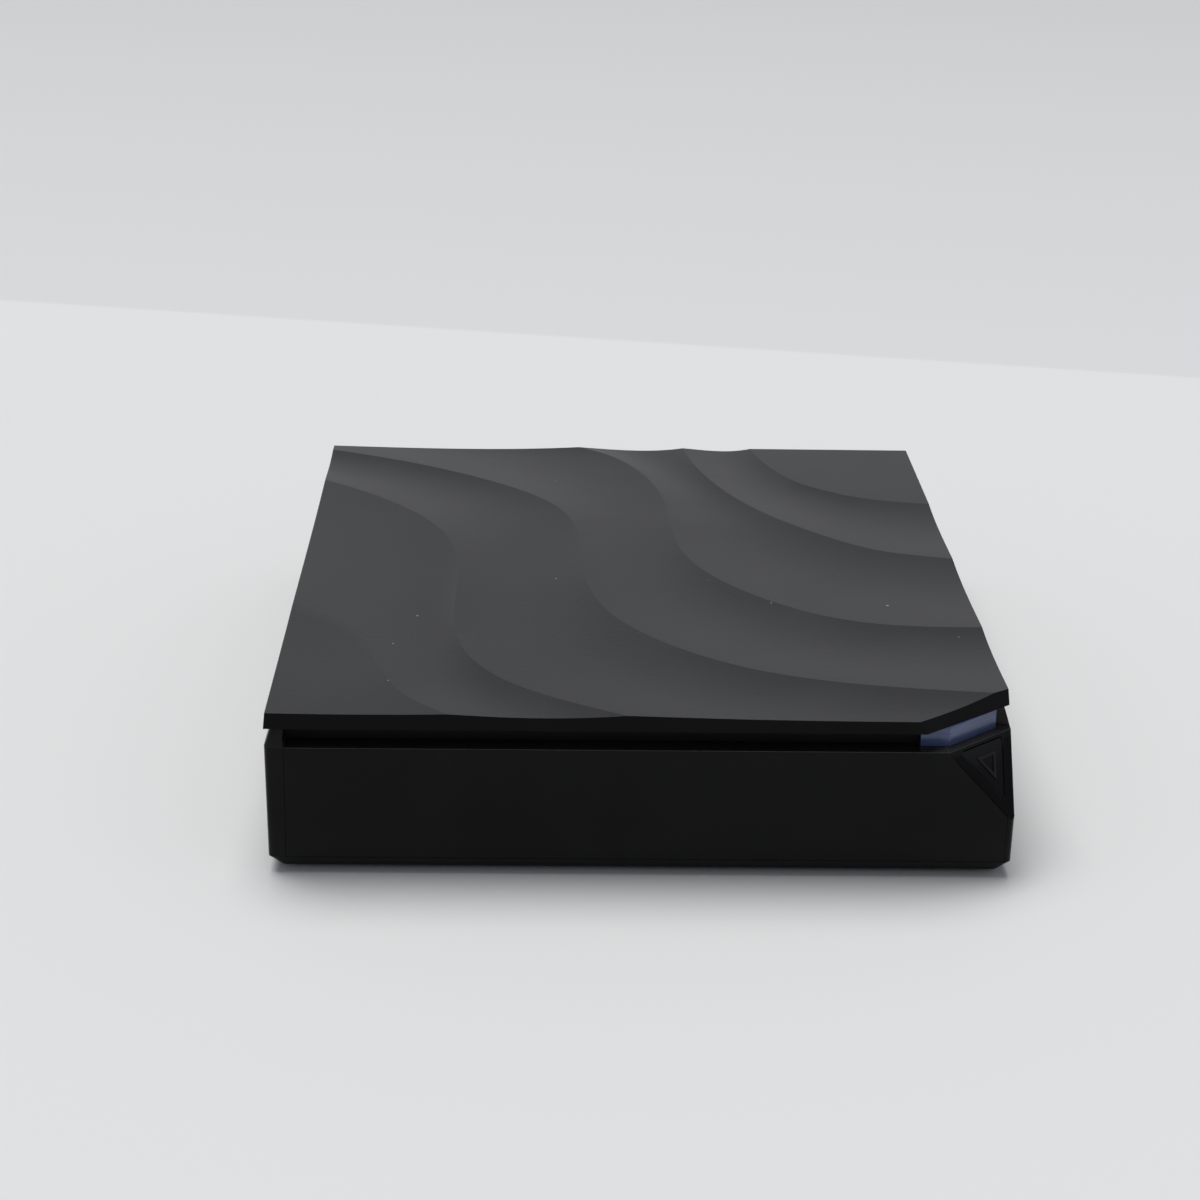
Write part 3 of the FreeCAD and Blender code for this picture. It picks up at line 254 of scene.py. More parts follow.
class Group(Nodes):
    """A node group with named inputs and outputs."""

    def __init__(self, kind: str, name: str, inputs: dict[str, tuple[str, object]],
                 outputs: dict[str, str]) -> None:
        """Makes the group.

        Args:
            kind: ShaderNodeTree or GeometryNodeTree.
            name: the group's name.
            inputs: type and default of each input, by name.
            outputs: type of each output, by name.
        """
        super().__init__(bpy.data.node_groups.new(name, kind))
        for key, (sort, value) in inputs.items():
            socket = self.tree.interface.new_socket(
                name=key, in_out="INPUT", socket_type="NodeSocket" + sort)
            if value is not None:
                socket.default_value = value
        for key, sort in outputs.items():
            self.tree.interface.new_socket(
                name=key, in_out="OUTPUT", socket_type="NodeSocket" + sort)
        self.source = self.add("NodeGroupInput")
        self.result = self.add("NodeGroupOutput")

    def __getitem__(self, name: str) -> NodeSocket:
        """The group's own input by name."""
        return self.source.outputs[name]

    def give(self, **values: NodeSocket) -> None:
        """Joins values to the group's own outputs by name."""
        for key, value in values.items():
            self.feed(value, self.result.inputs[key])


class Effect(Group):
    """A shader group that puts out masks on a piece's own coordinates."""

    def __init__(self, name: str, numbers: dict[str, float], masks: tuple[str, ...]) -> None:
        """Makes the group.

        Args:
            name: the group's name.
            numbers: default of each input, by name.
            masks: names of the outputs.
        """
        inputs = {key: ("Float", value) for key, value in numbers.items()}
        super().__init__("ShaderNodeTree", name, {"Vector": ("Vector", None), **inputs},
                         dict.fromkeys(masks, "Float"))
        self.place = self["Vector"]


class Maker(Group):
    """A geometry tree from a mesh of points or faces to a dressed mesh."""

    def __init__(self, name: str, inputs: dict[str, tuple[str, object]]) -> None:
        """Makes the tree.

        Args:
            name: the tree's name.
            inputs: type and default of each input beside Geometry and Material, by name.
        """
        super().__init__("GeometryNodeTree", name,
                         {"Geometry": ("Geometry", None), **inputs, "Material": ("Material", None)},
                         {"Geometry": "Geometry"})

    def named(self, name: str, kind: str = "FLOAT") -> NodeSocket:
        """Reads an attribute of the mesh that the tree starts from."""
        return self.take("GeometryNodeInputNamedAttribute", "Attribute", {"Name": name},
                         data_type=kind)

    def raised(self, geometry: NodeSocket, height: NodeSocket) -> NodeSocket:
        """Moves a geometry upwards."""
        offset = self.take("ShaderNodeCombineXYZ", "Vector", {"Z": height})
        return self.take("GeometryNodeSetPosition", "Geometry",
                         {"Geometry": geometry, "Offset": offset})

    def finished(self, geometry: NodeSocket) -> NodeTree:
        """Ends the tree with Realize Instances and Set Material.

        Args:
            geometry: what the tree has made.

        Returns:
            The tree.
        """
        real = self.take("GeometryNodeRealizeInstances", "Geometry", {"Geometry": geometry})
        self.give(Geometry=self.take("GeometryNodeSetMaterial", "Geometry",
                                     {"Geometry": real, "Material": self["Material"]}))
        return self.tree


def surface_grain() -> NodeTree:
    """Effect of a moulded texture: fine grain as a height, and slow unevenness as a mask.

    Returns:
        The shader group.
    """
    coarser, patches = 0.3, 14.0  # scale of the second grain to the first; patches per metre
    grain_levels, patch_levels = (0.3, 0.7), (0.35, 0.65)  # noise where a mask starts, is full
    g = Effect("surface_grain", {"Scale": Grain.SPARK.value[0], "Softness": 0.5},
               ("Height", "Unevenness"))
    fine = g.noise(g["Scale"], 3.0)
    coarse = g.noise(g.math("MULTIPLY", g["Scale"], coarser), 1.0)
    blend = g.math("MULTIPLY_ADD", g.math("SUBTRACT", coarse, fine), g["Softness"], fine)
    g.give(Height=g.ramp(blend, *grain_levels),
           Unevenness=g.ramp(g.noise(patches), *patch_levels))
    return g.tree


def surface_dust() -> NodeTree:
    """Effect of dust: single specks, and a thin film that gathers in patches.

    Returns:
        The shader group.
    """
    cells_hit, patches = 0.12, 45.0  # share of cells with a speck; patches per metre
    smallest, spread = 0.02, 0.05  # of a speck's radius, as shares of a cell
    film_levels = (0.42, 0.75)  # noise where the film starts and is full
    g = Effect("surface_dust", {"Spacing": 220.0, "Amount": 0.3}, ("Specks", "Film"))
    cells = g.add("ShaderNodeTexVoronoi", {"Vector": g.place, "Scale": g["Spacing"]},
                  feature="F1")
    draw = g.add("ShaderNodeSeparateColor", {"Color": cells.outputs["Color"]}).outputs
    hit = g.math("LESS_THAN", draw["Red"], g.math("MULTIPLY", g["Amount"], cells_hit))
    radius = g.math("MULTIPLY_ADD", draw["Green"], spread, smallest)
    spot = g.math("LESS_THAN", cells.outputs["Distance"], radius)
    film = g.ramp(g.noise(patches, 6.0), *film_levels)
    g.give(Specks=g.math("MULTIPLY", hit, spot), Film=g.math("MULTIPLY", film, g["Amount"]))
    return g.tree


@dataclass(frozen=True)
class Groups:
    """The shader groups that the finishes share."""

    grain: NodeTree
    dust: NodeTree


# ---------------------------------------------------------------- finishes


@dataclass(frozen=True)
class Finish:
    """What every finish has: two close tones, a texture, a gloss and softly rounded edges."""

    name: str
    tone: Tone
    tone_second: Tone
    grain: Grain
    roughness: float
    edge_mm: float = 0.12

    def build(self, groups: Groups) -> Material:
        """Makes the material.

        Args:
            groups: the shared shader groups.

        Returns:
            The finished material.
        """
        scale, depth = self.grain.value
        shader = Shader(self.name)
        grain = shader.use(groups.grain, Scale=scale)
        tone = shader.mix(self.tone, self.tone_second, self.pattern(shader, grain))
        self.coat(shader, groups, tone, grain)
        shader.relief(grain.outputs["Height"], depth, self.edge_mm * MM)
        return shader.material

    def pattern(self, shader: Shader, grain: Node) -> NodeSocket:
        """Mask of the second tone, here in slow patches."""
        return grain.outputs["Unevenness"]

    def coat(self, shader: Shader, groups: Groups, tone: NodeSocket, grain: Node) -> None:
        """Sets colour and gloss, here a plain gloss."""
        shader.set(Base_Color=tone, Roughness=self.roughness)


@dataclass(frozen=True)
class PaintedLightBand:
    """A tone of painted light that comes in between two heights in millimetres."""

    tone: Tone
    start: float
    full: float


@dataclass(frozen=True)
class Plastic(Finish):
    """A moulded plastic with dust, and painted light over it: highlights on upward edges, lighter
    tones by height, and shade on the cut corner.
    """

    roughness_spread: float = 0.08
    specular: float = 0.5
    dust: float = 0.25
    dust_tone: Tone = (0.32, 0.32, 0.31)
    edge_mm: float = 0.25
    # painted highlight along upward-facing edges: its colour, width and heights
    edge_highlight_tone: Tone | None = None
    edge_highlight_mm: float = 0.12
    edge_highlight_above: Span | None = None
    # painted shade on the cut corner's faces below a height
    facet_shade_tone: Tone | None = None
    facet_shade_top: Span = (27.2, 28.2)
    # painted light: lighter tones laid by height
    painted_light_bands: tuple[PaintedLightBand, ...] = ()

    def coat(self, shader: Shader, groups: Groups, tone: NodeSocket, grain: Node) -> None:
        """Lays lighter tones by height, painted shade on the cut corner, painted highlights on
        upward edges, and dust over the colour.

        Args:
            shader: the material's tree.
            groups: the shared shader groups.
            tone: the plastic's own colour.
            grain: the grain's node, not used here.
        """
        dust = shader.use(groups.dust, Amount=self.dust).outputs
        # painted light by height
        for band in self.painted_light_bands:
            tone = shader.mix(tone, band.tone, shader.above(band.start, band.full))
        # painted shade on the border round the button in the cut corner
        if self.facet_shade_tone:
            below = shader.math("SUBTRACT", 1.0, shader.above(*self.facet_shade_top))
            border = shader.math("MULTIPLY", shader.facing(FACET_WAY), below)
            tone = shader.mix(tone, self.facet_shade_tone, border)
        # painted highlight on the edges that look up
        if self.edge_highlight_tone:
            edge_light = shader.highlit_edges(self.edge_highlight_mm * MM)
            if self.edge_highlight_above:
                edge_light = shader.math("MULTIPLY", edge_light, shader.above(*self.edge_highlight_above))
            tone = shader.mix(tone, self.edge_highlight_tone, edge_light)
        cover = shader.math("MULTIPLY_ADD", dust["Film"], FILM_COVER, dust["Specks"], clamp=True)
        rough = shader.math("MULTIPLY_ADD", dust["Film"], self.roughness_spread, self.roughness,
                            clamp=True)
        shader.set(Base_Color=shader.mix(tone, self.dust_tone, cover), Roughness=rough,
                   Specular_IOR_Level=self.specular)


@dataclass(frozen=True)
class Metal(Finish):
    """A plated, rolled or anodised metal with fine unevenness."""

    grain: Grain = Grain.ROLLED
    roughness: float = 0.28
    roughness_spread: float = 0.14
    edge_mm: float = 0.08

    def coat(self, shader: Shader, groups: Groups, tone: NodeSocket, grain: Node) -> None:
        """Sets colour and a gloss that varies with the unevenness."""
        rough = shader.math("MULTIPLY_ADD", grain.outputs["Unevenness"], self.roughness_spread,
                            self.roughness, clamp=True)
        shader.set(Base_Color=tone, Roughness=rough, Metallic=1.0)


@dataclass(frozen=True)
class SmokyWindow(Finish):
    """The tinted strip at the corner: smooth, with faint streaks along it."""

    name: str = "smoky_window"
    tone: Tone = (0.024, 0.036, 0.095)
    tone_second: Tone = (0.095, 0.128, 0.265)
    grain: Grain = Grain.POLISH
    roughness: float = 0.22
    streaks_per_metre: float = 1100.0
    stretch: Place = (0.10, 0.10, 1.0)

    def pattern(self, shader: Shader, grain: Node) -> NodeSocket:
        """Mask of level streaks."""
        level = shader.take("ShaderNodeMapping", "Vector",
                            {"Vector": shader.place, "Scale": self.stretch})
        return shader.noise(self.streaks_per_metre, place=level)


@dataclass(frozen=True)
class BoardMask(Finish):
    """Green solder mask with copper runs that show through as a lighter green."""

    name: str = "board_mask"
    tone: Tone = (0.006, 0.055, 0.022)
    tone_second: Tone = (0.014, 0.11, 0.045)
    grain: Grain = Grain.SATIN
    roughness: float = 0.32
    edge_mm: float = 0.0
    runs_per_metre: float = 130.0
    run_width: float = 0.06

    def pattern(self, shader: Shader, grain: Node) -> NodeSocket:
        """Mask of the copper runs."""
        field_mask, run_mask = (0.0, 0.0, 0.0, 1.0), (1.0, 1.0, 1.0, 1.0)
        return shader.take("ShaderNodeTexBrick", "Color", {
            "Vector": shader.place, "Scale": self.runs_per_metre, "Mortar Size": self.run_width,
            "Color1": field_mask, "Color2": field_mask, "Mortar": run_mask})


COVER = Plastic("cover_texture", (0.0157, 0.0157, 0.0165), (0.0199, 0.0199, 0.0209), Grain.SPARK,
                roughness=0.35, specular=0.18, dust=0.45, edge_mm=0.20)
# Darker, less glossy copy of the cover plastic for its sides and underside: painted shade.
COVER_SIDE_SHADE = Plastic("cover_side", (0.0038, 0.0038, 0.0041), (0.0050, 0.0050, 0.0054), Grain.SATIN,
                     roughness=0.32, specular=0.07, dust=0.12, edge_mm=0.12)
CASE = Plastic("case_gloss", (0.0055, 0.0055, 0.0058), (0.0072, 0.0072, 0.0076), Grain.POLISH,
               roughness=0.20, specular=0.08, dust=0.22, edge_mm=0.30,
               # painted highlight on the case's upper edges, such as the lip of the tray front
               edge_highlight_tone=(0.11, 0.11, 0.11), edge_highlight_mm=0.25, edge_highlight_above=(25.5, 28.5),
               # painted shade on the cut corner's border
               facet_shade_tone=(0.0016, 0.0016, 0.0018),
               # painted light: lighter towards the bottom for the table's reflection, and lighter
               # above the belt in the shaded gap
               painted_light_bands=(PaintedLightBand((0.0120, 0.0120, 0.0124), 14.0, 1.0),
                      PaintedLightBand((0.0178, 0.0175, 0.0175), 28.7, 28.8)))
BUTTON = Plastic("button_gloss", (0.0020, 0.0020, 0.0021), (0.0028, 0.0028, 0.0030), Grain.POLISH,
                 roughness=0.20, specular=0.10, dust=0.25, edge_mm=0.22,
                 # painted highlight on the button's upward edges
                 edge_highlight_tone=(0.016, 0.016, 0.016),
                 # painted light: the button lighter towards its top
                 painted_light_bands=(PaintedLightBand((0.0095, 0.0095, 0.0097), 22.8, 28.0),))
MARK = Plastic("mark_print", (0.0080, 0.0080, 0.0083), (0.0115, 0.0115, 0.0120), Grain.SATIN,
               roughness=0.35, specular=0.12, dust=0.15, edge_mm=0.04)
SATIN = Plastic("tray_satin", (0.014, 0.014, 0.015), (0.020, 0.020, 0.021), Grain.SATIN,
                roughness=0.42, dust=0.15)
NYLON = Plastic("socket_nylon", (0.010, 0.010, 0.010), (0.015, 0.015, 0.015), Grain.SATIN,
                roughness=0.38, dust=0.10, edge_mm=0.12)
EPOXY = Plastic("chip_epoxy", (0.012, 0.012, 0.013), (0.018, 0.018, 0.019), Grain.SPARK,
                roughness=0.50, dust=0.10, edge_mm=0.08)
RUBBER = Plastic("foot_rubber", (0.011, 0.011, 0.011), (0.018, 0.018, 0.018), Grain.SPARK,
                 roughness=0.62, dust=0.40, edge_mm=0.40)
LAMP = Plastic("lamp_epoxy", (0.55, 0.58, 0.62), (0.62, 0.66, 0.70), Grain.POLISH,
               roughness=0.12, dust=0.05, edge_mm=0.15)
SLEEVE = Plastic("can_sleeve", (0.016, 0.018, 0.030), (0.022, 0.024, 0.040), Grain.POLISH,
                 roughness=0.22, dust=0.10, edge_mm=0.20)
FILM = Metal("film_copper", (0.42, 0.20, 0.07), (0.36, 0.17, 0.06), roughness=0.34)
TINPLATE = Metal("shell_tinplate", (0.56, 0.56, 0.57), (0.48, 0.48, 0.49))
SPRING = Metal("spring_steel", (0.60, 0.59, 0.57), (0.50, 0.49, 0.47), roughness=0.22)
ANODISED = Metal("sink_anodised", (0.62, 0.62, 0.64), (0.55, 0.55, 0.57), Grain.SATIN, 0.40)
NICKEL = Metal("screw_nickel", (0.58, 0.57, 0.54), (0.45, 0.44, 0.42), roughness=0.25)
GOLD = Metal("contact_gold", (0.80, 0.55, 0.20), (0.70, 0.46, 0.16), roughness=0.24)

FINISHED_NODES = {
    CASE: "housing tray_front",
    SmokyWindow(): "light_window",
    BUTTON: "power_button",
    SATIN: "base_plate tray_carrier tray_guide_left tray_guide_right",
    NYLON: "switch_plunger drive_connector dc_jack av_jack optical_jack optical_shutter "
           "ethernet_jack",
    TINPLATE: "power_switch wifi_module hdmi_port usb3_port usb2_ports card_slot",
    BoardMask(): "switch_board led_board main_board drive_board",
    EPOXY: "ir_receiver processor memory_chips inductors",
    LAMP: "status_leds",
    SPRING: "detent_springs",
    ANODISED: "heat_sink",
    SLEEVE: "capacitors",
    FILM: "wifi_antennas",
    RUBBER: "rubber_feet",
}


@dataclass
class Workshop:
    """Builds each finish once and gives it out."""

    groups: Groups = field(default_factory=lambda: Groups(surface_grain(), surface_dust()))
    made: dict[str, Material] = field(default_factory=dict)

    def finish(self, kind: Finish) -> Material:
        """Gives the material of a finish, built on first use.

        Args:
            kind: the finish.

        Returns:
            Its material.
        """
        if kind.name not in self.made:
            self.made[kind.name] = kind.build(self.groups)
        return self.made[kind.name]

    def dress_nodes(self, nodes: dict[str, Object]) -> None:
        """Gives each carried-over CAD node its finish.

        Args:
            nodes: the nodes by name.
        """
        chosen = {name: kind for kind, names in FINISHED_NODES.items() for name in names.split()}
        for name, node in nodes.items():
            if name not in chosen:
                continue
            if not node.material_slots:
                node.data.materials.append(None)
            for slot in node.material_slots:
                slot.material = self.finish(chosen[name])
            LOG.info("%s: carried over in %s", name, chosen[name].name)


# ---------------------------------------------------------------- pieces and meshes


def put(name: str, data: bpy.types.ID) -> Object:
    """Stands a mesh, lamp or camera in the scene as an object at the origin.

    Args:
        name: the object's name.
        data: the mesh, lamp or camera.

    Returns:
        The object.
    """
    made = bpy.data.objects.new(name, data)
    bpy.context.scene.collection.objects.link(made)
    return made


def new_piece(name: str, mesh: Mesh, body: Body) -> Object:
    """Stands a finished mesh in the scene as a piece of the player.

    Args:
        name: the piece's name.
        mesh: its mesh, with its place in it.
        body: the body that it moves with.

    Returns:
        The piece.
    """
    piece = put(name, mesh)
    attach(piece, body.value)
    LOG.info("%s: %d faces, moves with %s", name, len(mesh.polygons), body.value)
    return piece


def run_tree(name: str, mesh: Mesh, tree: NodeTree, **values: object) -> Mesh:
    """Runs a geometry tree on a mesh and returns the plain result.

    Args:
        name: the new mesh's name.
        mesh: the mesh that the tree starts from.
        tree: the geometry tree.
        values: its inputs by name, with underscores for spaces.

    Returns:
        The mesh with the tree applied.
    """
    carrier = put(name + "_source", mesh)
    modifier = carrier.modifiers.new(name, "NODES")
    modifier.node_group = tree
    for item in tree.interface.items_tree:
        key = item.name.replace(" ", "_")
        if item.in_out == "INPUT" and key in values:
            modifier[item.identifier] = values[key]
    graph = bpy.context.evaluated_depsgraph_get()
    graph.update()
    made = bpy.data.meshes.new_from_object(carrier.evaluated_get(graph), depsgraph=graph)
    made.name = name
    carrier.modifiers.remove(modifier)
    bpy.data.objects.remove(carrier)
    return made


def merged(node_name: str) -> BMesh:
    """Copies a CAD node's loose triangles and merges them where they meet.

    Args:
        node_name: the node.

    Returns:
        The copy.
    """
    work = bmesh.new()
    work.from_mesh(bpy.data.objects[node_name].data)
    bmesh.ops.remove_doubles(work, verts=work.verts, dist=MERGE)
    return work


def closed_up(work: BMesh, name: str, finish: Material | None = None) -> Mesh:
    """Turns a bmesh into a plain mesh and frees it.

    Args:
        work: the bmesh.
        name: the mesh's name.
        finish: its material, if it gets one.

    Returns:
        The mesh.
    """
    mesh = bpy.data.meshes.new(name)
    work.to_mesh(mesh)
    work.free()
    if finish:
        mesh.materials.append(finish)
    return mesh


# ---------------------------------------------------------------- top cover


def wave_tree() -> NodeTree:
    """Geometry tree that sinks a flat field between its ridges.

    Returns:
        The tree, whose mesh carries "across" from 0 to 1 between two ridges and "sink",
        the share of the depth that the valley between them reaches.
    """
    g = Maker("wave_relief", {"Depth": ("Float", 0.85 * MM), "Fall": ("Float", 0.70),
                              "Rise": ("Float", 1.85)})
    bezier = -3.0  # weight of a cubic's two middle points, downwards
    v = g.named("across")
    rest = g.math("SUBTRACT", 1.0, v)
    fall = g.math("MULTIPLY", v, g.math("POWER", rest, 2.0))
    fall = g.math("MULTIPLY", fall, g["Fall"])
    rise = g.math("MULTIPLY", g.math("POWER", v, 2.0), rest)
    rise = g.math("MULTIPLY", rise, g["Rise"])
    depth = g.math("MULTIPLY", g["Depth"], g.named("sink"))
    down = g.math("MULTIPLY", g.math("MULTIPLY", g.math("ADD", fall, rise), bezier), depth)
    return g.finished(g.raised(g["Geometry"], down))


def spline(points: list[Span], count: int) -> np.ndarray:
    """Samples a natural cubic spline through evenly numbered points.

    Args:
        points: the points that it passes through.
        count: number of samples.

    Returns:
        An array of places, one row each.
    """
    p = np.array(points, float)
    n = len(p)
    system = np.eye(n)
    right = np.zeros((n, 2))
    for i in range(1, n - 1):
        system[i, i - 1:i + 2] = (1.0, 4.0, 1.0)
        right[i] = 6.0 * (p[i - 1] - 2.0 * p[i] + p[i + 1])
    bend = np.linalg.solve(system, right)
    t = np.linspace(0.0, n - 1.0, count)
    i = np.minimum(t.astype(int), n - 2)
    b = (t - i)[:, None]
    a = 1.0 - b
    return a * p[i] + b * p[i + 1] + ((a ** 3 - a) * bend[i] + (b ** 3 - b) * bend[i + 1]) / 6.0


@dataclass
class TopCover:
    """Matt cover whose relief falls slowly behind each ridge and rises quickly to the next."""

    ridges: list[list[Span]] = field(default_factory=lambda: [
        [(-126, -38), (-107, -61.5), (-94.5, -75), (-87, -92), (-80.5, -112), (-71, -125),
         (-48, -146), (-3, -163), (68, -169)],
        [(-98, -10), (-79, -33.5), (-66.5, -47), (-59, -64), (-52.5, -84), (-43, -97),
         (-20, -118), (25, -135), (96, -141)],
        [(-96, 79), (-66, 54), (-46, 22), (-41.5, -15), (-40.8, -50), (-30, -78),
         (-5, -98), (35, -115), (96, -121)],
        [(-96, 101), (-59.7, 84.3), (-28, 59.5), (-14, 33), (-11.8, 0), (-6, -35),
         (13.7, -62.8), (45, -79.0), (96, -86)],
        [(-26, 106), (-4.7, 93), (7, 68), (10.6, 42), (12.3, 13), (22, -13.5),
         (42, -35.3), (66, -43), (96, -42)],
        [(16, 112), (18, 92), (22, 73), (28, 55.5), (36, 40), (46, 26.3),
         (57, 14.8), (70.3, 8), (96, 2)],
        [(34, 112), (37, 92), (41.5, 77.5), (47, 67), (54, 60), (60.3, 55.5),
         (68.7, 52.2), (79, 50), (96, 47)],
    ])
    shares: tuple[float, ...] = (0.25, 0.80, 1.0, 1.0, 1.0, 0.90, 0.0)
    flat_reach: float = 90.0
    depth: float = 0.85
    steps_along: int = 260
    steps_across: int = 22
    thickness: float = 3.5
    flare: float = 0.32
    corner_cut: Span = (21.8, 17.8)
    corner_cut_lower: Span = (19.9, 17.2)
    seam_merge: float = 0.002
    wall_merge: float = 0.004
    underside_slack: float = 0.01
    sharp_deg: float = 4.5

    def build(self, shop: Workshop) -> Object:
        """Makes the cover and hides the plain one.

        Args:
            shop: gives the finish.

        Returns:
            The cover.
        """
        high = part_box("top_cover")[1]
        relief = run_tree("cover_shell", self.flat_field(high.z), wave_tree(),
                          Depth=self.depth * MM, Material=shop.finish(COVER))
        relief.materials.append(shop.finish(COVER_SIDE_SHADE))
        work = bmesh.new()
        work.from_mesh(relief)
        bmesh.ops.remove_doubles(work, verts=work.verts, dist=self.seam_merge * MM)
        self.trim(work, high)
        self.add_underside(work, high.z - self.thickness * MM)
        work.to_mesh(relief)
        work.free()
        piece = new_piece("cover_shell", relief, Body.CASE)
        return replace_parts(piece, "top_cover")

    def flat_field(self, z: float) -> Mesh:
        """Flat bands between the ridges, each vertex with its share of the way across.

        Args:
            z: height of the ridges in metres.

        Returns:
            The mesh with its "across" and "sink" attributes.
        """
        lines = [spline(points, self.steps_along) * MM for points in self.ridges]
        lines.append(lines[-1] + self.flat_reach * MM)
        verts: list[Place] = []
        faces: list[tuple[int, int, int, int]] = []
        marks: dict[str, list[float]] = {"across": [], "sink": []}
        wide = self.steps_along
        for near, distant, depth_share in zip(lines, lines[1:], self.shares):
            start = len(verts)
            for share in np.linspace(0.0, 1.0, self.steps_across + 1):
                verts += [(x, y, z) for x, y in near + (distant - near) * share]
                marks["across"] += [float(share)] * wide
                marks["sink"] += [depth_share] * wide
            for j in range(self.steps_across):
                for a in range(start + j * wide, start + (j + 1) * wide - 1):
                    faces.append((a, a + 1, a + wide + 1, a + wide))
        mesh = bpy.data.meshes.new("cover_field")
        mesh.from_pydata(verts, [], faces)
        for name, values in marks.items():
            mark = mesh.attributes.new(name, "FLOAT", "POINT")
            mark.data.foreach_set("value", np.array(values, np.float32))
        mesh.update()
        return mesh

    def outline(self, down: float, half: Vector) -> list[Vector]:
        """Corners of the cover at a share of its thickness below the top.

        Args:
            down: the share, from 0 at the top to 1 at the underside.
            half: the cover's highest corner.

        Returns:
            The corners, in order round the cover.
        """
        hx = half.x - self.flare * MM * (1.0 - down)
        hy = half.y - self.flare * MM * (1.0 - down)
        cx, cy = [(a + (b - a) * down) * MM
                  for a, b in zip(self.corner_cut, self.corner_cut_lower)]
        z = half.z - self.thickness * MM * down
        return [Vector(c) for c in ((-hx, -hy, z), (hx - cx, -hy, z), (hx, cy - hy, z),
                                    (hx, hy, z), (-hx, hy, z))]

    def trim(self, work: BMesh, half: Vector) -> None:
        """Cuts the field along the cover's sides and closes them with walls.

        Args:
            work: the relief.
            half: the cover's highest corner.
        """
        top, under = self.outline(0.0, half), self.outline(1.0, half)
        feet = [work.verts.new(p) for p in under]
        sides = []
        for i, (start, end) in enumerate(zip(top, top[1:] + top[:1])):
            normal = (end - start).cross(under[i] - start).normalized()
            if normal.dot(Vector((start.x, start.y, 0.0))) < 0:
                normal.negate()
            sides.append((start, end, normal))
            geom = [g for g in (*work.verts, *work.edges, *work.faces) if g not in feet]
            bmesh.ops.bisect_plane(work, geom=geom, dist=MERGE, plane_co=start,
                                   plane_no=normal, clear_outer=True)
        for i, (start, end, normal) in enumerate(sides):
            rim = [v for v in work.verts if v not in feet and v.is_boundary
                   and abs((v.co - start).dot(normal)) < self.wall_merge * MM]
            rim.sort(key=lambda v: (v.co - start).dot(end - start))
            wall = work.faces.new([feet[i], feet[(i + 1) % len(feet)], *reversed(rim)])
            # the walls take the second material, the painted shade
            wall.material_index = 1

    def add_underside(self, work: BMesh, z: float) -> None:
        """Closes the cover from below with the plain node's underside and skirt.

        Args:
            work: the relief with its walls.
            z: height of the underside.
        """
        floor = z + self.underside_slack * MM
        plain = merged("top_cover")
        spare = [f for f in plain.faces if max(v.co.z for v in f.verts) > floor]
        bmesh.ops.delete(plain, geom=spare, context="FACES")
        below = closed_up(plain, "cover_below")
        work.from_mesh(below)
        bpy.data.meshes.remove(below)
        bmesh.ops.remove_doubles(work, verts=work.verts, dist=self.wall_merge * MM)
        bmesh.ops.recalc_face_normals(work, faces=work.faces)
        for face in work.faces:
            face.smooth = True
            # faces of the underside take the second material, the painted shade
            if face.calc_center_median().z < floor:
                face.material_index = 1
        limit = math.radians(self.sharp_deg)
        for edge in work.edges:
            edge.smooth = len(edge.link_faces) == 2 and edge.calc_face_angle(0.0) <= limit


# ---------------------------------------------------------------- fasteners and contacts


def screw_tree() -> NodeTree:
    """Geometry tree that seats a cross-head screw on each point, along the point's axis.

    Returns:
        The tree, whose points carry "axis", the way from the tip to the head.
    """
    sides, slot_reach = 28, 1.25  # of the cylinders; length of a slot to the head's radius
    g = Maker("cross_head_screws", {name: ("Float", value * MM) for name, value in (
        ("Shank Radius", 1.0), ("Shank Length", 4.0), ("Head Radius", 1.9),
        ("Head Height", 1.2), ("Slot Width", 0.5), ("Slot Depth", 0.6))})

    def cylinder(part: str, span: str, way: float) -> NodeSocket:
        """Makes one round part of the screw, which starts at the seat.

        Args:
            part: Head or Shank.
            span: what the tree's input for its length is called.
            way: 1 towards the head, -1 towards the tip.

        Returns:
            The cylinder.
        """
        long = g[f"{part} {span}"]
        rod = g.take("GeometryNodeMeshCylinder", "Mesh",
                     {"Vertices": sides, "Radius": g[f"{part} Radius"], "Depth": long})
        return g.raised(rod, g.math("MULTIPLY", long, way * 0.5))

    head = cylinder("Head", "Height", 1.0)
    shank = cylinder("Shank", "Length", -1.0)
    carve = g.add("GeometryNodeMeshBoolean", {"Mesh 1": head}, operation="DIFFERENCE")
    wide, long = g["Slot Width"], g.math("MULTIPLY", g["Head Radius"], slot_reach)
    for across, along in ((long, wide), (wide, long)):
        deep = g.math("MULTIPLY", g["Slot Depth"], 2.0)
        size = g.take("ShaderNodeCombineXYZ", "Vector", {"X": across, "Y": along, "Z": deep})
        bar = g.take("GeometryNodeMeshCube", "Mesh", {"Size": size})
        g.feed(g.raised(bar, g["Head Height"]), carve.inputs["Mesh 2"])
    whole = g.add("GeometryNodeJoinGeometry", {"Geometry": carve.outputs["Mesh"]})
    g.feed(shank, whole.inputs["Geometry"])
    turn = g.take("FunctionNodeAlignRotationToVector", "Rotation",
                  {"Vector": g.named("axis", "FLOAT_VECTOR")}, axis="Z")
    return g.finished(g.take("GeometryNodeInstanceOnPoints", "Instances", {
        "Points": g["Geometry"], "Instance": whole.outputs["Geometry"],
        "Rotation": turn}))


